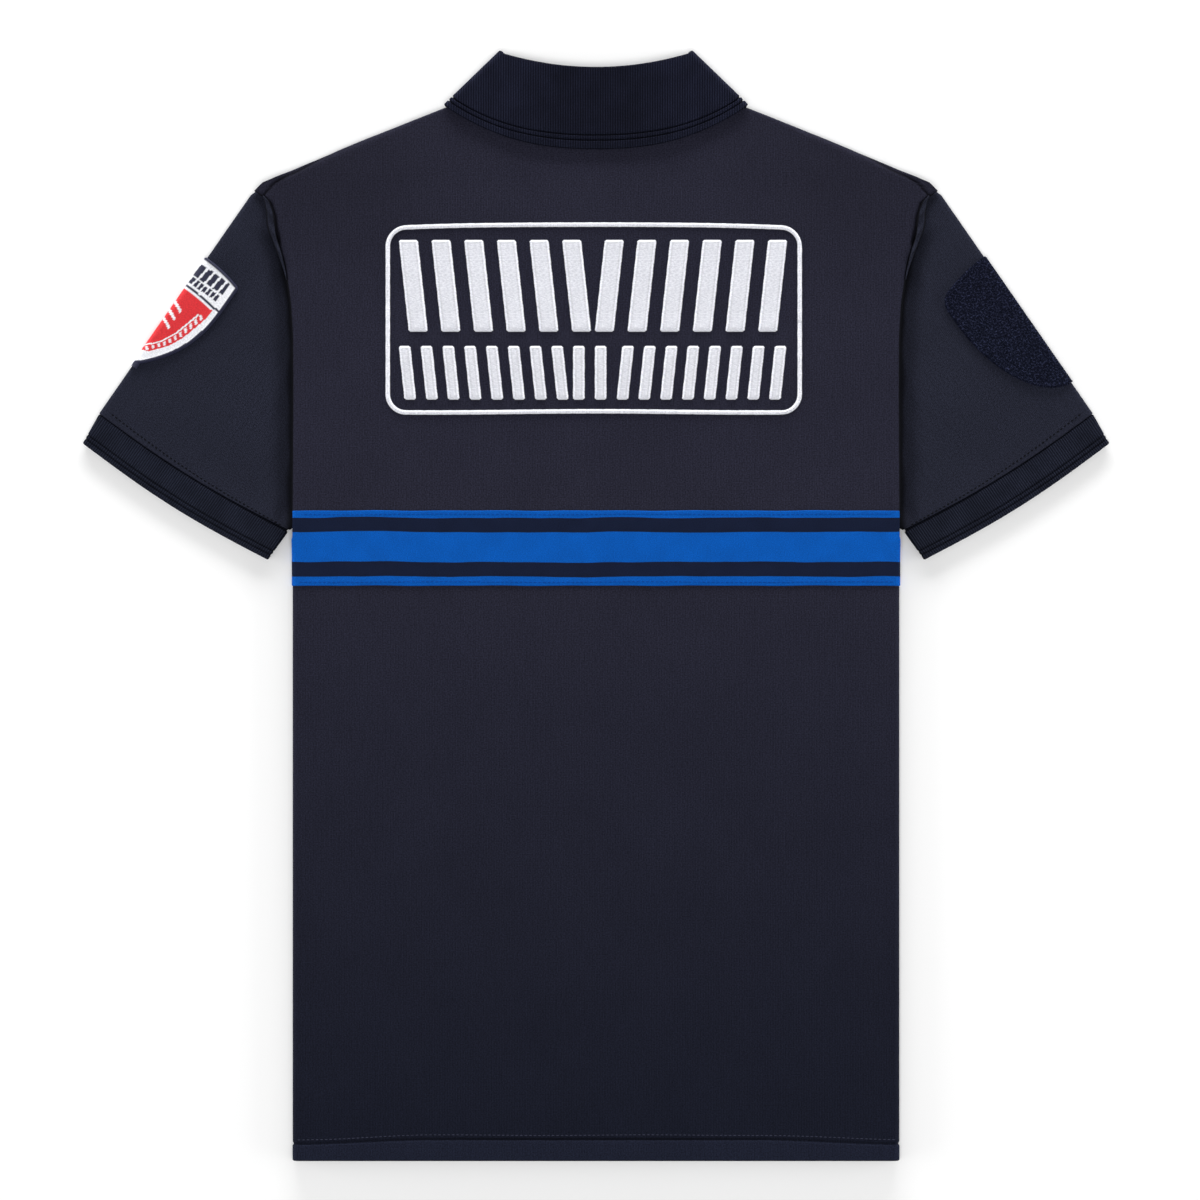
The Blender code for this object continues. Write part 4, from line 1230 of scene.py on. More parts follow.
    def cuff_section(self, share: float, shrink: float) -> Numbers:
        """Section of the +X cuff from its seam (0) to its free edge (1)."""
        ends = []
        for seam, edge in ((self.outer_end, self.cuff_outer), (self.cuff_seam_inner, self.cuff_inner)):
            ends.append((np.subtract(seam, unit(np.subtract(edge, seam)) * self.cuff_tuck), edge))
        outer, inner = (self.between(pair, (0.0, 1.0), share) for pair in ends)
        normal = unit(np.array((outer[1] - inner[1], inner[0] - outer[0])))

        def bow(place: Numbers) -> Numbers:
            return normal * (self.seam_bow * np.sin(np.pi * place))[:, None]

        def heights(x: Numbers, y: Numbers) -> tuple[Numbers, Numbers]:
            drop = self.cuff_drop * share
            return np.full_like(x, self.under - drop), np.full_like(y, self.top - drop)

        return self.flat_loop(outer, inner, bow, heights, shrink, soft=(1 - share) ** 2)

    def mirrored(self, points: Numbers) -> Numbers:
        """The points on this sleeve's own side of the body."""
        return points * np.array((self.hand.value, 1.0, 1.0))

    def on_cloth(self, points: Numbers) -> Numbers:
        """Lengths across and along the sleeve of +X points, as its threads run."""
        plan = points[..., :2] - np.array(self.outer_start)
        return pair(plan @ self.inwards, plan @ self.along_axis)

    def make_tube(self, name: str, section: Callable[[float, float], Numbers], stations: Numbers,
                  reliefs: Numbers, thickness: Numbers, painted_shades: Numbers, slot: Slot,
                  material: Material) -> Piece:
        """A flattened tube, open at both ends.

        Args:
            name: part node that it stands for.
            section: points round the tube for a station and a shrink.
            stations: shares of its length.
            reliefs: how far the outer face is pressed in at each station.
            thickness: depth of the inner face at each station.
            painted_shades: painted shade at each station, 1 on open cloth.
            slot: material slot.
            material: its finish.

        Returns:
            The finished piece.
        """
        outer = np.stack([section(station, relief) for station, relief in zip(stations, reliefs)])
        inner = np.stack([section(station, depth) for station, depth in zip(stations, thickness)])
        shell = Shell.wall(self.mirrored(outer), self.mirrored(inner), self.on_cloth(outer), ring=True,
                           dye_and_shade=self.painted_seam_shade(outer) * painted_shades[:, None])
        piece = wear(shell.piece(f"{name}_cloth", material), slot, name)
        return piece

    def make_welt(self, material: Material) -> Piece:
        """The rolled seam that stands up between the shoulder tip and the armhole's valley."""
        share = np.linspace(0.0, 1.0, 60)
        rows = np.array(self.welt_path)
        places = np.linspace(0.0, 1.0, len(rows))
        x, y, half = (np.interp(share, places, rows[:, axis]) for axis in range(3))
        half = half + 0.25 * np.sin(share * 19.0) * bell(share, 0.5, 0.5)
        heading = unit(pair(np.gradient(x), np.gradient(y)))
        across = np.linspace(-1.0, 1.0, 17)
        plan_x = x[:, None] - heading[:, 1:] * across * half[:, None]
        plan_y = y[:, None] + heading[:, :1] * across * half[:, None]
        distance = plan_x - self.body.edge_x(plan_y)
        low = self.top + (self.body.top - self.top) * smooth(distance, 0.6, -0.6)
        ends = np.sqrt(clipped(4.0 * share * (1.0 - share)))[:, None]
        crest = self.body.top + self.welt_rise * ends
        shape = np.sqrt(clipped(1.0 - across ** 2))
        folds = np.sin(share[:, None] * 27.0 + 2.2 * across)
        height = low + (crest - low) * shape + 0.3 * folds * shape * ends
        outer = stack(plan_x, plan_y, height)
        inner = stack(plan_x, plan_y, low - 0.4)
        # Painted shade along both edges of the welt and in bands along its length, slightly darker overall.
        shade = ((0.92 - 0.25 * (0.5 + 0.5 * folds) ** 2)
                 * (1.0 - 0.9 * smooth(np.abs(across), 0.45, 0.95)))
        shell = Shell.wall(self.mirrored(outer), self.mirrored(inner), self.on_cloth(outer),
                           dye_and_shade=np.broadcast_to(shade, height.shape))
        return wear(shell.piece(f"armhole_welt_{self.hand.label}", material), Slot.KNIT)

    def topstitch(self, material: Material) -> Piece:
        """Stitches on the sleeve beside the cuff seam, on both layers."""
        section = self.sleeve_section(self.thread_station, 0.0)
        flat = self.across_steps + 1
        second = flat + 2 * self.fold_steps - 1
        rows = []
        for start, lift in ((0, SURFACE_LIFT), (second, -SURFACE_LIFT)):
            run = section[start + 2:start + flat - 2] + np.array((0.0, 0.0, lift))
            rows.append(self.thread.along(self.mirrored(run)))
        return wear(Shell.joined(rows).piece(f"cuff_stitches_{self.hand.label}", material), Slot.KNIT)

    def dress(self, finishes: Finishes) -> None:
        """Make the sleeve, its cuff and the stitching between them."""
        stations = graded((0.0, 0.02, 0.01), (0.02, 0.14, 0.0045), (0.14, 0.98, 0.0125), (0.98, 1.0, 0.002))
        from_seam = (1.0 - stations) * math.dist(self.outer_start, self.outer_end)
        # Painted shade at the sleeve's end, by the cuff seam.
        self.make_tube(f"sleeve_{self.hand.label}", self.sleeve_section, stations, round_edge(from_seam, 0.9),
                       np.full(len(stations), self.cloth), 1.0 - 0.4 * smooth(from_seam, 0.8, 0.0),
                       Slot.KNIT, finishes.sleeve_knit)
        length = math.dist(self.outer_end, self.cuff_outer) + self.cuff_tuck
        places = graded((0.0, self.cuff_tuck, 0.9), (self.cuff_tuck, self.cuff_tuck + 1.8, 0.3),
                        (self.cuff_tuck + 1.8, length, 0.55))
        from_seam, from_edge = places - self.cuff_tuck, length - places
        grooves = sum(bell(from_edge, groove, 1.1) for groove in self.cuff_grooves)
        open_rib = 0.15 + 0.6 * round_edge(from_seam, 1.2) + round_edge(from_edge, 0.7) + 0.5 * grooves
        reliefs = np.where(from_seam < 0.1, self.cloth + 0.12, open_rib)
        # Painted shade in the cuff's grooves and by its seam.
        painted_shades = (1.0 - 0.6 * grooves) * (1.0 - 0.45 * smooth(from_seam, 1.1, 0.1))
        self.make_tube(f"cuff_{self.hand.label}", self.cuff_section, places / length, reliefs,
                       np.maximum(self.rib, reliefs + 0.2), painted_shades, Slot.RIB, finishes.cuff_rib)
        self.topstitch(finishes.dark_thread)
        self.make_welt(finishes.sleeve_knit)

    def fold_point(self, along: Numbers, girth: Numbers) -> Numbers:
        """Point on the +X sleeve's outer face near its outer fold.

        Args:
            along: distance from the shoulder end of the straight fold.
            girth: distance round the cloth from the fold, above 0 on the back.

        Returns:
            Points in millimetres.
        """
        angle = math.pi / 2 * clipped(np.abs(girth) / self.fold_quarter)
        depth = self.outer_fold * (1 - np.cos(angle)) + np.maximum(np.abs(girth) - self.fold_quarter, 0.0)
        plan = (np.array(self.outer_start) + self.along_axis * along[..., None]
                + self.inwards * depth[..., None])
        low, high = self.heights(plan[..., 0], plan[..., 1])
        height = (low + high) / 2 + np.sign(girth) * (high - low) / 2 * np.sin(angle)
        inside = smooth(depth - self.outer_fold, 0.0, 14.0) * clipped(np.sign(girth) * np.sin(angle))
        height = height + self.soft_top(plan[..., 0], plan[..., 1]) * inside
        return stack(plan[..., 0], plan[..., 1], height)


# ------------------------------------------------------------------ patches
@dataclass
class Patch:
    """A shield-shaped patch that wraps round a sleeve's outer fold."""

    sleeve: Sleeve
    node: str
    slot: Slot
    start: float                    # from the shoulder end of the sleeve's fold
    length: float
    half_width: float
    straight: float                 # length of the straight sides above the taper
    power: float                    # how late the taper comes
    root: float                     # how round the taper ends
    corner_drop: float              # how far the upper edge sinks towards its corners
    border: float                   # width of the overlocked edge
    round_corner: float             # radius of the upper corners
    thickness: float = 0.9
    gap: float = 0.3
    tip: float = 0.8
    step: float = 0.7

    def half_at(self, down: Numbers) -> Numbers:
        """Half width at a distance down from the upper edge."""
        taper = clipped((down - self.straight) / (self.length - self.straight)) ** self.power
        return self.half_width * (1 - taper) ** self.root - 0.8 * round_edge(down, self.round_corner)

    def dye_and_shade(self, down: Numbers, reach: Numbers, edge: Numbers) -> Numbers | None:
        """Thread colours, for a patch that has a picture."""
        return None

    def make(self, material: Material) -> Piece:
        """Build the patch with its raised edge."""
        quarter = self.sleeve.fold_quarter
        flat = 1.0 + np.linspace(0.0, 1.0, round(self.half_width / self.step))[1:]
        places = both_ways(np.concatenate((np.linspace(0.0, 1.0, 9), flat)))
        places, rows = np.meshgrid(places, 1.0 - np.linspace(1.0, 0.0, round(self.length / self.step)) ** 1.3)
        down = rows * self.length
        flat_width = np.maximum(self.half_at(down) - quarter, self.tip)
        reach = np.abs(places)
        girth = np.sign(places) * (np.minimum(reach, 1.0) * quarter
                                   + np.maximum(reach - 1.0, 0.0) * flat_width)
        along = self.start + down + self.corner_drop * (girth / self.half_width) ** 2 * (1 - rows)
        slope = np.gradient(self.half_at(down[:, 0]), down[:, 0])[:, None]
        side = (np.maximum(self.half_at(down), quarter + self.tip) - np.abs(girth)) / np.hypot(1.0, slope)
        edge = np.minimum(np.minimum(side, down), self.length - down + self.border)
        base = self.sleeve.fold_point(along, girth)
        surface, step = self.sleeve.fold_point, SMALL_STEP
        normals = unit(np.cross(surface(along, girth + step) - surface(along, girth - step),
                                surface(along + step, girth) - surface(along - step, girth)))
        outwards = normals * np.sign(normals[len(rows) // 2, -1, 2])
        rise = (self.gap + self.thickness + 0.35 * bell(edge, self.border / 2 + 0.2, self.border / 2 + 0.6)
                - 0.8 * round_edge(edge, 0.9))
        outer = above(self.sleeve.mirrored(base + outwards * rise[..., None]), SURFACE_LIFT)
        inner = above(self.sleeve.mirrored(base + outwards * self.gap), SURFACE_LIFT + 0.1)
        dye_and_shade = self.dye_and_shade(along - self.start, np.abs(girth), edge)
        shell = Shell.wall(outer, inner, pair(girth, along), dye_and_shade=dye_and_shade)
        piece = wear(shell.piece(f"{self.node}_cloth", material), self.slot, self.node)
        return piece


@dataclass
class ShieldPatch(Patch):
    """Embroidered shield: white ground, red field and plain navy bars."""

    node: str = "shield_patch"
    slot: Slot = Slot.TWILL
    start: float = 54.0
    length: float = 92.8
    half_width: float = 31.5
    straight: float = 10.0
    power: float = 2.9
    root: float = 1.0
    corner_drop: float = 5.0
    border: float = 2.3
    round_corner: float = 2.0
    white: Colour = srgb(226, 227, 232)
    red: Colour = srgb(206, 32, 40)
    navy: Colour = srgb(24, 26, 52)
    field_sides: Path = ((26.0, 25.9), (38.6, 24.2), (56.3, 19.2),     # down and half width
                         (66.3, 14.2), (77.5, 5.0), (80.0, 0.0))
    bars: tuple[tuple[float, float, float, float, float], ...] = (
        (5.8, 15.6, 25.0, 5.4, 3.8), (16.9, 21.8, 24.5, 3.4, 2.3))   # low, high, reach, pitch, width

    def dye_and_shade(self, down: Numbers, reach: Numbers, edge: Numbers) -> Numbers:
        """Thread colours of the shield."""
        colours = np.broadcast_to(self.white, (*down.shape, 3)).copy()

        def lay(where: Numbers, colour: Colour) -> None:
            colours[where] = colour

        for low, high, limit, pitch, width in self.bars:
            place = np.mod(reach - 1.2 + (down - low) * 0.12, pitch)
            lay((down > low) & (down < high) & (reach < limit) & (place < width), self.navy)
        lay(np.abs(down - 24.2 - reach * 0.085) < 0.8, self.navy)
        sides = table_line(self.field_sides, down)
        inside = (down > 26.6 + reach * 0.08) & (reach < sides)
        lay(inside, self.red)
        for level in (38.0, 45.0, 52.0):
            chevron = np.abs(down - level - reach * 0.55) < 1.1
            lay(inside & chevron & (reach < 7.5), self.white)
        leaf = np.mod(down - reach * 0.9, 5.6)
        lay(inside & (down > 36.0) & (sides - reach > 1.4) & (sides - reach < 4.6) & (leaf < 2.3), self.white)
        lay(inside & (np.abs(sides - reach - 5.9) < 0.55) & (down > 36.0), self.white)
        lay(edge < self.border, self.navy)
        return colours


@dataclass
class LoopPatch(Patch):
    """Rounded patch of loop pile, without a picture."""

    node: str = "loop_patch"
    slot: Slot = Slot.PILE
    start: float = 53.0
    length: float = 108.0
    half_width: float = 44.0
    straight: float = 20.0
    power: float = 2.0
    root: float = 0.5
    corner_drop: float = 8.5
    border: float = 1.5
    round_corner: float = 9.0
    step: float = 1.15


# ------------------------------------------------------------------- collar
@dataclass
class Collar:
    """The knitted collar: stand, fold and fall in one ring that is open at the front."""

    body: Body
    rib: float = 1.6
    ring_height: float = 4.425
    stand_offset: float = 0.75
    fold_radius: float = 1.8
    side_out: Place = (0.685, 0.729)
    back_end: float = 0.45
    front_start: float = 0.55
    seam_gap: float = 0.4
    fold_back: float = 379.8            # place of the fold and of the free edge at the middle of the back
    fold_corner: Place = (64.6, 389.2)
    fold_front_pull: Place = (50.0, 305.0)
    fold_front_end: Place = (5.0, 290.0)
    edge_back: float = 321.7
    edge_corner: Place = (104.4, 350.6)
    edge_front_pull: Place = (100.0, 285.0)
    leaf_point: Place = (74.0, 226.0)
    edge_power: float = 2.4
    front_end_angle: float = 3.93
    grooves: Path = ((6.3, 4.6), (9.9, 8.0))    # from the free edge, at the middle and the sides

    def lines(self, place: Numbers) -> tuple[Numbers, Numbers, Numbers]:
        """Plan points of the neck seam, the fold and the free edge.

        Args:
            place: -1 at the left front end, through 0 at the middle of the back, to 1.

        Returns:
            Seam, fold and edge points.
        """
        side, share = np.where(place < 0, -1.0, 1.0), np.abs(place)
        back = clipped(share / self.back_end)
        front = clipped((share - self.front_start) / (1 - self.front_start))
        on_back = share <= self.back_end
        angle = np.radians(np.where(on_back, 90.0 * back, 90.0 - (90.0 - self.front_end_angle) * front))
        drop = np.where(on_back, self.body.neck_drops[Face.BACK], self.body.neck_drops[Face.FRONT])
        seam = pair((self.body.neck_half - self.seam_gap) * np.sin(angle),
                    self.body.neck_y + self.seam_gap - drop * np.cos(angle))
        fold_back = pair(self.fold_corner[0] * back,
                         self.fold_back + (self.fold_corner[1] - self.fold_back) * back ** 2)
        edge_back = pair(self.edge_corner[0] * back,
                         self.edge_back + (self.edge_corner[1] - self.edge_back) * back ** self.edge_power)
        fold = np.where(on_back[..., None], fold_back,
                        pulled_curve(self.fold_corner, self.fold_front_pull, self.fold_front_end, front))
        edge = np.where(on_back[..., None], edge_back,
                        pulled_curve(self.edge_corner, self.edge_front_pull, self.leaf_point, front))
        flip = pair(side, 1.0)
        return seam * flip, fold * flip, edge * flip

    def point(self, place: Numbers, climb: Numbers) -> Numbers:
        """Point on the collar: climb is 0-1 up the stand, 1-2 over the fold, 2-3 down the fall."""
        seam, fold, edge = self.lines(place)
        away = unit(fold - (seam + edge) / 2)
        turn = math.pi * clipped((climb - 1.0))
        crest = fold - away * self.fold_radius
        up = clipped(climb)[..., None]
        down = clipped(climb - 2.0)[..., None]
        plan = np.where(climb[..., None] < 1.0, seam + (crest - seam) * up, crest + (edge - crest) * down)
        plan = plan + away * (self.fold_radius * np.sin(turn))[..., None]
        height = self.stand_offset + self.fold_radius * (1 - np.cos(turn))
        swing = math.pi * clipped((np.abs(place) - self.back_end) / (self.front_start - self.back_end))
        side = np.where(place < 0, -1.0, 1.0)
        return stack(plan[..., 0] + side * self.side_out[0] * np.sin(swing) * height,
                     plan[..., 1] + self.side_out[1] * np.sin(swing) * height,
                     self.ring_height + np.cos(swing) * height)

    def dress(self, finishes: Finishes) -> None:
        """Make the collar with its knitted edge lines."""
        half = graded((0.0, self.back_end, 0.005), (self.back_end, self.front_start, 0.0042),
                      (self.front_start, 1.0, 0.009))
        climbs = np.concatenate((graded((0.0, 1.0, 0.12), (1.0, 2.0, 0.07), (2.0, 2.74, 0.035))[:-1],
                                 graded((2.74, 3.0, 0.0075))))
        places, climbs = np.meshgrid(both_ways(half), climbs)
        base = self.point(places, climbs)
        _, fold, edge_line = self.lines(places)
        fall = np.linalg.norm(fold - edge_line, axis=-1) - self.fold_radius
        from_edge = (3.0 - climbs) * fall
        sideways = smooth(np.abs(places), 0.1, self.back_end)
        grooves = sum(smooth(np.abs(from_edge - middle - (side - middle) * sideways), 0.85, 0.0)
                      for middle, side in self.grooves)
        at_side = bell(np.abs(places), (self.back_end + self.front_start) / 2, 0.07)
        relief = grooves * (0.62 + 0.6 * at_side) + 0.6 * round_edge(from_edge, 0.9)
        inwards = face_normals(self.point, places, climbs, step=0.002)
        outer = base + inwards * relief[..., None]
        inner = base + inwards * (self.rib - 0.4 * round_edge(from_edge, 0.8))[..., None]
        cloth = pair(base[..., 0], -from_edge)
        # Painted shade in the grooves and along the rolled free edge.
        shade = (1.0 - 0.8 * grooves) * (1.0 - 0.5 * smooth(from_edge, 1.0, 0.0))
        # Painted light: the collar is paler towards its sides.
        shade = shade * (1.0 + 0.35 * smooth(np.abs(places), 0.12, 0.36))
        shell = Shell.wall(outer, inner, cloth, dye_and_shade=shade)
        piece = wear(shell.piece("collar_cloth", finishes.collar_rib), Slot.RIB, "collar")


# ------------------------------------------------------ placket and buttons
@dataclass
class Placket:
    """The button strip, the strip behind it, and the buttons."""

    body: Body
    half: float = 15.0
    low: float = 122.0
    high: float = 276.0
    strip: float = 0.9
    button_heights: tuple[float, ...] = (262.0, 205.0, 150.0)
    button_radius: float = 5.75
    button_thickness: float = 1.8
    rim: float = 0.9
    dish: float = 0.45
    hole_radius: float = 0.85
    hole_reach: float = 1.45
    hole_places: Place = (-0.8, 0.8)    # shares of the reach, across and along
    thread: Stitches = Stitches(length=2.0, width=0.5, pitch=3.0)
    button_thread: Stitches = Stitches(length=3.1, width=0.7, height=0.6, pitch=3.2)

    def make_strip(self, node: str, half: float, low: float, top: float, thickness: float,
                   material: Material) -> Piece:
        """A flat strip of cloth with rounded edges, its outer face down."""
        x, y = np.meshgrid(both_ways(graded((0.0, half - 3.0, 2.5), (half - 3.0, half, 0.3))),
                           graded((low, low + 3.0, 0.3), (low + 3.0, self.high, 3.0)))
        edge = np.minimum(half - np.abs(x), y - low)
        fell = 0.18 * bell(edge, 2.2, 1.2)
        outer = stack(x, y, top - thickness + 0.4 * round_edge(edge, 0.8) + fell)
        inner = stack(x, y, top - 0.3 * round_edge(edge, 0.6))
        piece = wear(Shell.wall(outer, inner, pair(x, y)).piece(f"{node}_cloth", material),
                     Slot.KNIT, node)
        return piece

    def make_button(self, number: int, height: float, material: Material) -> Piece:
        """A dished four-hole button, its face down."""
        radius = np.concatenate((graded((0.01, 3.2, 0.12)), graded((3.2, self.button_radius, 0.17))[1:]))
        turns = np.arange(48) * math.tau / 48
        radii, turns = np.meshgrid(radius, turns, indexing="ij")
        x, y = radii * np.cos(turns), radii * np.sin(turns)
        edge = self.button_radius - radii
        holes = sum(smooth(np.hypot(x - self.hole_reach * sx, y - self.hole_reach * sy),
                           self.hole_radius + 0.12, self.hole_radius - 0.12)
                    for sx in self.hole_places for sy in self.hole_places)
        face = (self.dish * smooth(edge, self.rim, self.rim + 0.8) + 1.1 * round_edge(edge, 0.6)
                + 0.75 * clipped(holes))
        back = self.button_thickness - 0.5 * round_edge(edge, 0.8)
        shell = Shell.wall(stack(x, y + height, face), stack(x, y + height, back), pair(x, y), ring=True)
        return wear(shell.piece(f"shirt_button_{number}", material), Slot.BUTTON, f"button_{number}")

    def dress(self, finishes: Finishes) -> None:
        """Make the strips, the buttons and their thread."""
        front_top = self.body.placket_lift - self.body.gap
        self.make_strip("placket_front", self.half, self.low, front_top, self.strip, finishes.knit)
        self.make_strip("placket_back", self.body.notch_half - self.body.gap, self.low + 4.5,
                        self.body.placket_lift + self.body.cloth, self.body.cloth, finishes.knit)
        face = front_top - self.strip
        line = np.linspace(self.low + 3.5, self.high - 2.0, 60)
        box = np.linspace(-self.half + 3.5, self.half - 3.5, 12)
        rows = [self.thread.along(stack(side * (self.half - 3.0), line, face + 0.1)) for side in (-1.0, 1.0)]
        rows += [self.thread.along(stack(box, self.low + offset, face + 0.1)) for offset in (3.0, 24.0)]
        wear(Shell.joined(rows).piece("placket_stitches", finishes.navy_thread), Slot.KNIT)
        for number, height in enumerate(self.button_heights, start=1):
            self.make_button(number, height, finishes.button)
            ends = height + np.array((-1.6, 1.6))
            rows = [self.button_thread.along(stack(self.hole_reach * side, ends, self.dish - 0.1))
                    for side in self.hole_places]
            wear(Shell.joined(rows).piece(f"button_thread_{number}", finishes.navy_thread), Slot.KNIT)


# ------------------------------------------------------------- back marking
@dataclass(frozen=True)
class BarRow:
    """One row of slanted bars, two strokes to a bar."""

    name: str
    low: float
    high: float
    left: float
    right: float
    count: int
    gap: float
    lean: float
    stroke: float


@dataclass
class BackMarking:
    """Raised white embroidery: a rounded frame round two rows of plain bars."""

    body: Body
    centre_x: float = -1.6
    half: float = 146.4
    low: float = 135.1
    high: float = 267.4
    arch: float = 2.6
    sway: float = 0.45                  # how much the lower side waves
    line: float = 2.5
    corner: float = 14.0
    lift: float = 0.06
    dome: float = 0.85
    rim: float = 0.5                    # pulled-in cloth round the stitching, coloured with painted shade
    # painted shade: near-black colour of the pulled-in rim, where shade falls
    pucker: Colour = (0.008, 0.008, 0.012)
    rows: tuple[BarRow, ...] = (
        BarRow("upper", 193.6, 257.7, -138.7, 136.6, 6, 8.0, 7.0, 12.8),
        BarRow("lower", 145.7, 183.0, -138.7, 136.6, 9, 5.0, 4.0, 7.6),
    )

    def satin(self, plan: Numbers, across: Numbers, along: Numbers, edge: Numbers,
              ring: bool = False) -> Shell:
        """Domed stitching over a grid of places.

        Args:
            plan: rows by columns of places on the panel.
            across: lengths across the stroke.
            along: lengths along the stroke.
            edge: distance to the nearest edge of the stroke.
            ring: whether the stroke closes on itself.

        Returns:
            One closed shell.
        """
        x, y = plan[..., 0], plan[..., 1]
        base = self.body.top + self.body.wave(x, y, Face.BACK) + self.lift
        rise = 0.04 + (self.dome - 0.04) * np.sqrt(1.0 - clipped(1.0 - edge / 1.5) ** 2)
        fill = 1.0 - 0.10 * smooth(edge, 1.2, 1.8) - 0.2 * bell(edge, 1.5, 0.5)
        # Painted shade: the rim outside the stitching is near-black.
        dye_and_shade = np.where((edge < 0.0)[..., None], self.pucker, fill[..., None] * np.ones(3))
        return Shell.wall(stack(x, y, base + rise), stack(x, y, base), pair(across, along),
                          ring=ring, dye_and_shade=dye_and_shade)

    def stroke(self, row: BarRow, left: float, shift_low: float, shift_high: float) -> Shell:
        """One slanted satin stroke with softly rounded corners."""
        width, length = row.stroke, row.high - row.low
        u, v = np.meshgrid(edged(0.0, width, 1.5, 0.3, 1.4, self.rim),
                           edged(0.0, length, 1.5, 0.3, 1.2, self.rim))
        ragged = 0.16 * np.sin(v * 4.1 + left) * np.sin(v * 1.7 + 2.0 * left)
        end = np.minimum(v, length - v)
        pinch = 1.0 - 0.9 * clipped(1.0 - end / 0.9) ** 2 / (width / 2)
        x = (u - width / 2) * pinch + width / 2
        x = x + ragged * smooth(np.abs(u - width / 2), width / 2 - 1.0, width / 2)
        shift = shift_low + (shift_high - shift_low) * v / length
        edge = np.minimum(np.minimum(u, width - u), end)
        return self.satin(pair(left + x + shift, row.low + v), u, v, edge)

    def make_bars(self, row: BarRow, material: Material) -> None:
        """All bars of one row: each leans towards the middle as it rises."""
        width = (row.right - row.left - row.gap * (row.count - 1) - row.lean) / row.count
        for number in range(row.count):
            left = row.left + (width + row.gap) * number
            from_middle = number - (row.count - 1) / 2
            shift_low = row.lean if from_middle < 0 else 0.0
            shift_high = row.lean if from_middle > 0 else 0.0
            strokes = [self.stroke(row, left + place, shift_low, shift_high)
                       for place in (0.0, (width + row.gap) / 2)]
            piece = Shell.joined(strokes).piece(f"satin_bar_{row.name}_{number + 1}", material)
            wear(piece, Slot.SATIN, f"marking_bar_{row.name}_{number + 1}")

    def outline(self, inset: float) -> Numbers:
        """Plan points round the frame, moved in by inset."""
        half, corner = self.half - inset, self.corner - inset
        rise = (self.high - self.low) / 2 - inset
        turns = np.radians(np.linspace(0.0, 90.0, 15))
        x = np.concatenate((half - corner + corner * np.cos(turns), np.linspace(half - corner, 0.0, 60)[1:]))
        y = np.concatenate((rise - corner + corner * np.sin(turns), np.full(59, rise)))
        quarter_x = np.concatenate((np.full(22, half), x))
        quarter_y = np.concatenate((np.linspace(0.0, rise - corner, 23)[:-1], y))
        upper_x = np.concatenate((quarter_x, -quarter_x[-2::-1]))
        upper_y = np.concatenate((quarter_y, quarter_y[-2::-1]))
        full_x = np.concatenate((upper_x, -upper_x[1:-1]))
        full_y = np.concatenate((upper_y, -upper_y[1:-1]))
        full_y = full_y + np.where(full_y > 0, self.arch * (1 - np.abs(full_x / self.half) ** 3), 0.0)
        full_y = full_y + np.where(full_y < 0, self.sway * (1.0 + np.cos(full_x / 36.0)), 0.0)
        return pair(self.centre_x + full_x, (self.low + self.high) / 2 + full_y)

    def dress(self, finishes: Finishes) -> None:
        """Make the frame and both rows of bars."""
        insets = graded((-self.rim, 0.0, self.rim), (0.0, self.line, self.line / 10),
                        (self.line, self.line + self.rim, self.rim))
        plan = np.stack([self.outline(inset) for inset in insets])
        steps = np.linalg.norm(np.diff(plan[len(insets) // 2], axis=0), axis=1)
        along = np.broadcast_to(np.concatenate(([0.0], np.cumsum(steps))), plan.shape[:2])
        across = np.broadcast_to(insets[:, None], plan.shape[:2])
        edge = np.minimum(across, self.line - across)
        ragged = 0.14 * np.sin(along * 3.3) * np.sin(along * 1.1)
        plan = plan + (ragged * np.sign(across - self.line / 2) * smooth(edge, 1.0, 0.0))[..., None] * 0.7
        piece = self.satin(plan, across, along, edge, ring=True).piece("satin_frame", finishes.satin)
        wear(piece, Slot.SATIN, "marking_frame")
        for row in self.rows:
            self.make_bars(row, finishes.satin)


# ------------------------------------------------------------------- studio
@dataclass(frozen=True)
class Lamp:
    """A soft rectangular light that looks at the shirt; lengths in metres, power in watts."""

    name: str
    place: tuple[float, float, float]
    size: Place
    power: float

    def hang(self) -> None:
        """Put the light in the scene."""
        data = bpy.data.lights.new(self.name, "AREA")
        data.shape = "RECTANGLE"
        data.size, data.size_y = self.size
        data.energy = self.power
        lamp = bpy.data.objects.new(self.name, data)
        bpy.context.collection.objects.link(lamp)
        x, y, z = self.place
        lamp.location = self.place
        lamp.rotation_euler = (math.atan2(math.hypot(x, y), z), 0.0, math.atan2(y, x) + math.pi / 2)


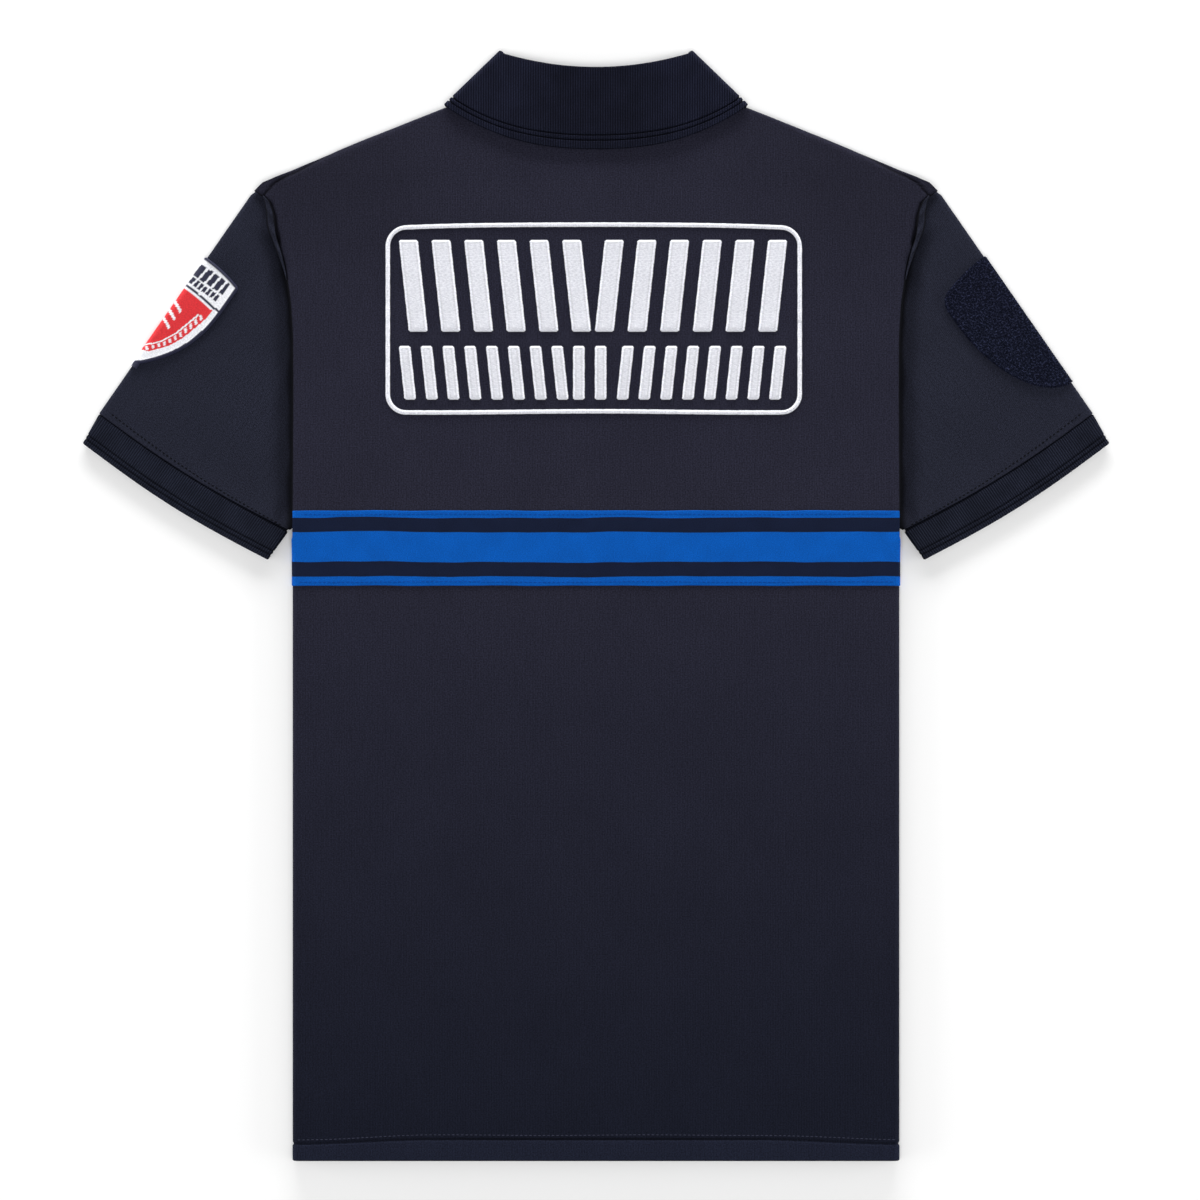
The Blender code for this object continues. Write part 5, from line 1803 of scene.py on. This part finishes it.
@dataclass
class Studio:
    """Pale floor, soft lights and the camera; lengths in metres."""

    floor_size: float = 8.0
    floor_drop: float = 0.0002
    view_width: float = 0.8448          # what the camera sees across at the shirt's height
    view_centre: Place = (0.0028, 0.0042)
    lens: float = 100.0
    sensor: float = 36.0
    sky: float = 0.25
    lamps: tuple[Lamp, ...] = (
        Lamp("main_light", (0.0, -0.7, 2.4), (2.2, 1.6), 33.5),
        Lamp("low_light", (0.0, 2.4, 0.38), (2.4, 0.42), 116.0),
        Lamp("left_light", (-2.4, -0.4, 0.36), (2.4, 0.42), 50.0),
        Lamp("right_light", (2.4, -0.4, 0.36), (2.4, 0.42), 50.0),
    )

    def lay_floor(self) -> None:
        """A broad pale board just under the shirt."""
        half = self.floor_size / 2
        mesh = bpy.data.meshes.new("floor")
        corners = [(-half, -half), (half, -half), (half, half), (-half, half)]
        mesh.from_pydata([(x, y, -self.floor_drop) for x, y in corners], [], [(0, 1, 2, 3)])
        mesh.uv_layers.new(name=CLOTH_MAP)
        mesh.materials.append(FloorFinish().material())
        floor = bpy.data.objects.new("floor", mesh)
        bpy.context.collection.objects.link(floor)

    def light(self) -> None:
        """Even light from above, stronger from the collar's side."""
        world = bpy.data.worlds.new("soft_room")
        world.use_nodes = True
        background = world.node_tree.nodes["Background"]
        background.inputs["Color"].default_value = (1.0, 1.0, 1.0, 1.0)
        background.inputs["Strength"].default_value = self.sky
        bpy.context.scene.world = world
        for lamp in self.lamps:
            lamp.hang()

    def place_camera(self) -> None:
        """A long lens straight above the shirt."""
        data = bpy.data.cameras.new("camera")
        data.lens, data.sensor_width = self.lens, self.sensor
        camera = bpy.data.objects.new("camera", data)
        bpy.context.collection.objects.link(camera)
        distance = self.view_width * self.lens / self.sensor
        camera.location = (*self.view_centre, distance + CAD_BOX[1][2])
        bpy.context.scene.camera = camera

    def set_up(self) -> None:
        """Floor, light and camera."""
        self.lay_floor()
        self.light()
        self.place_camera()
        bpy.context.scene.view_settings.view_transform = "Standard"


def main() -> None:
    """Dress the shirt from the body outwards and set up the studio."""
    logging.basicConfig(level=logging.INFO, format="%(name)s: %(message)s")
    finishes = Finishes()
    body = Body()
    body.dress(finishes)
    sleeves = {hand: Sleeve(hand, body) for hand in Hand}
    for sleeve in sleeves.values():
        sleeve.dress(finishes)
    ShieldPatch(sleeves[Hand.LEFT]).make(finishes.shield)
    LoopPatch(sleeves[Hand.RIGHT]).make(finishes.pile)
    Collar(body).dress(finishes)
    Placket(body).dress(finishes)
    BackMarking(body).dress(finishes)
    Studio().set_up()


if __name__ == "__main__":
    main()
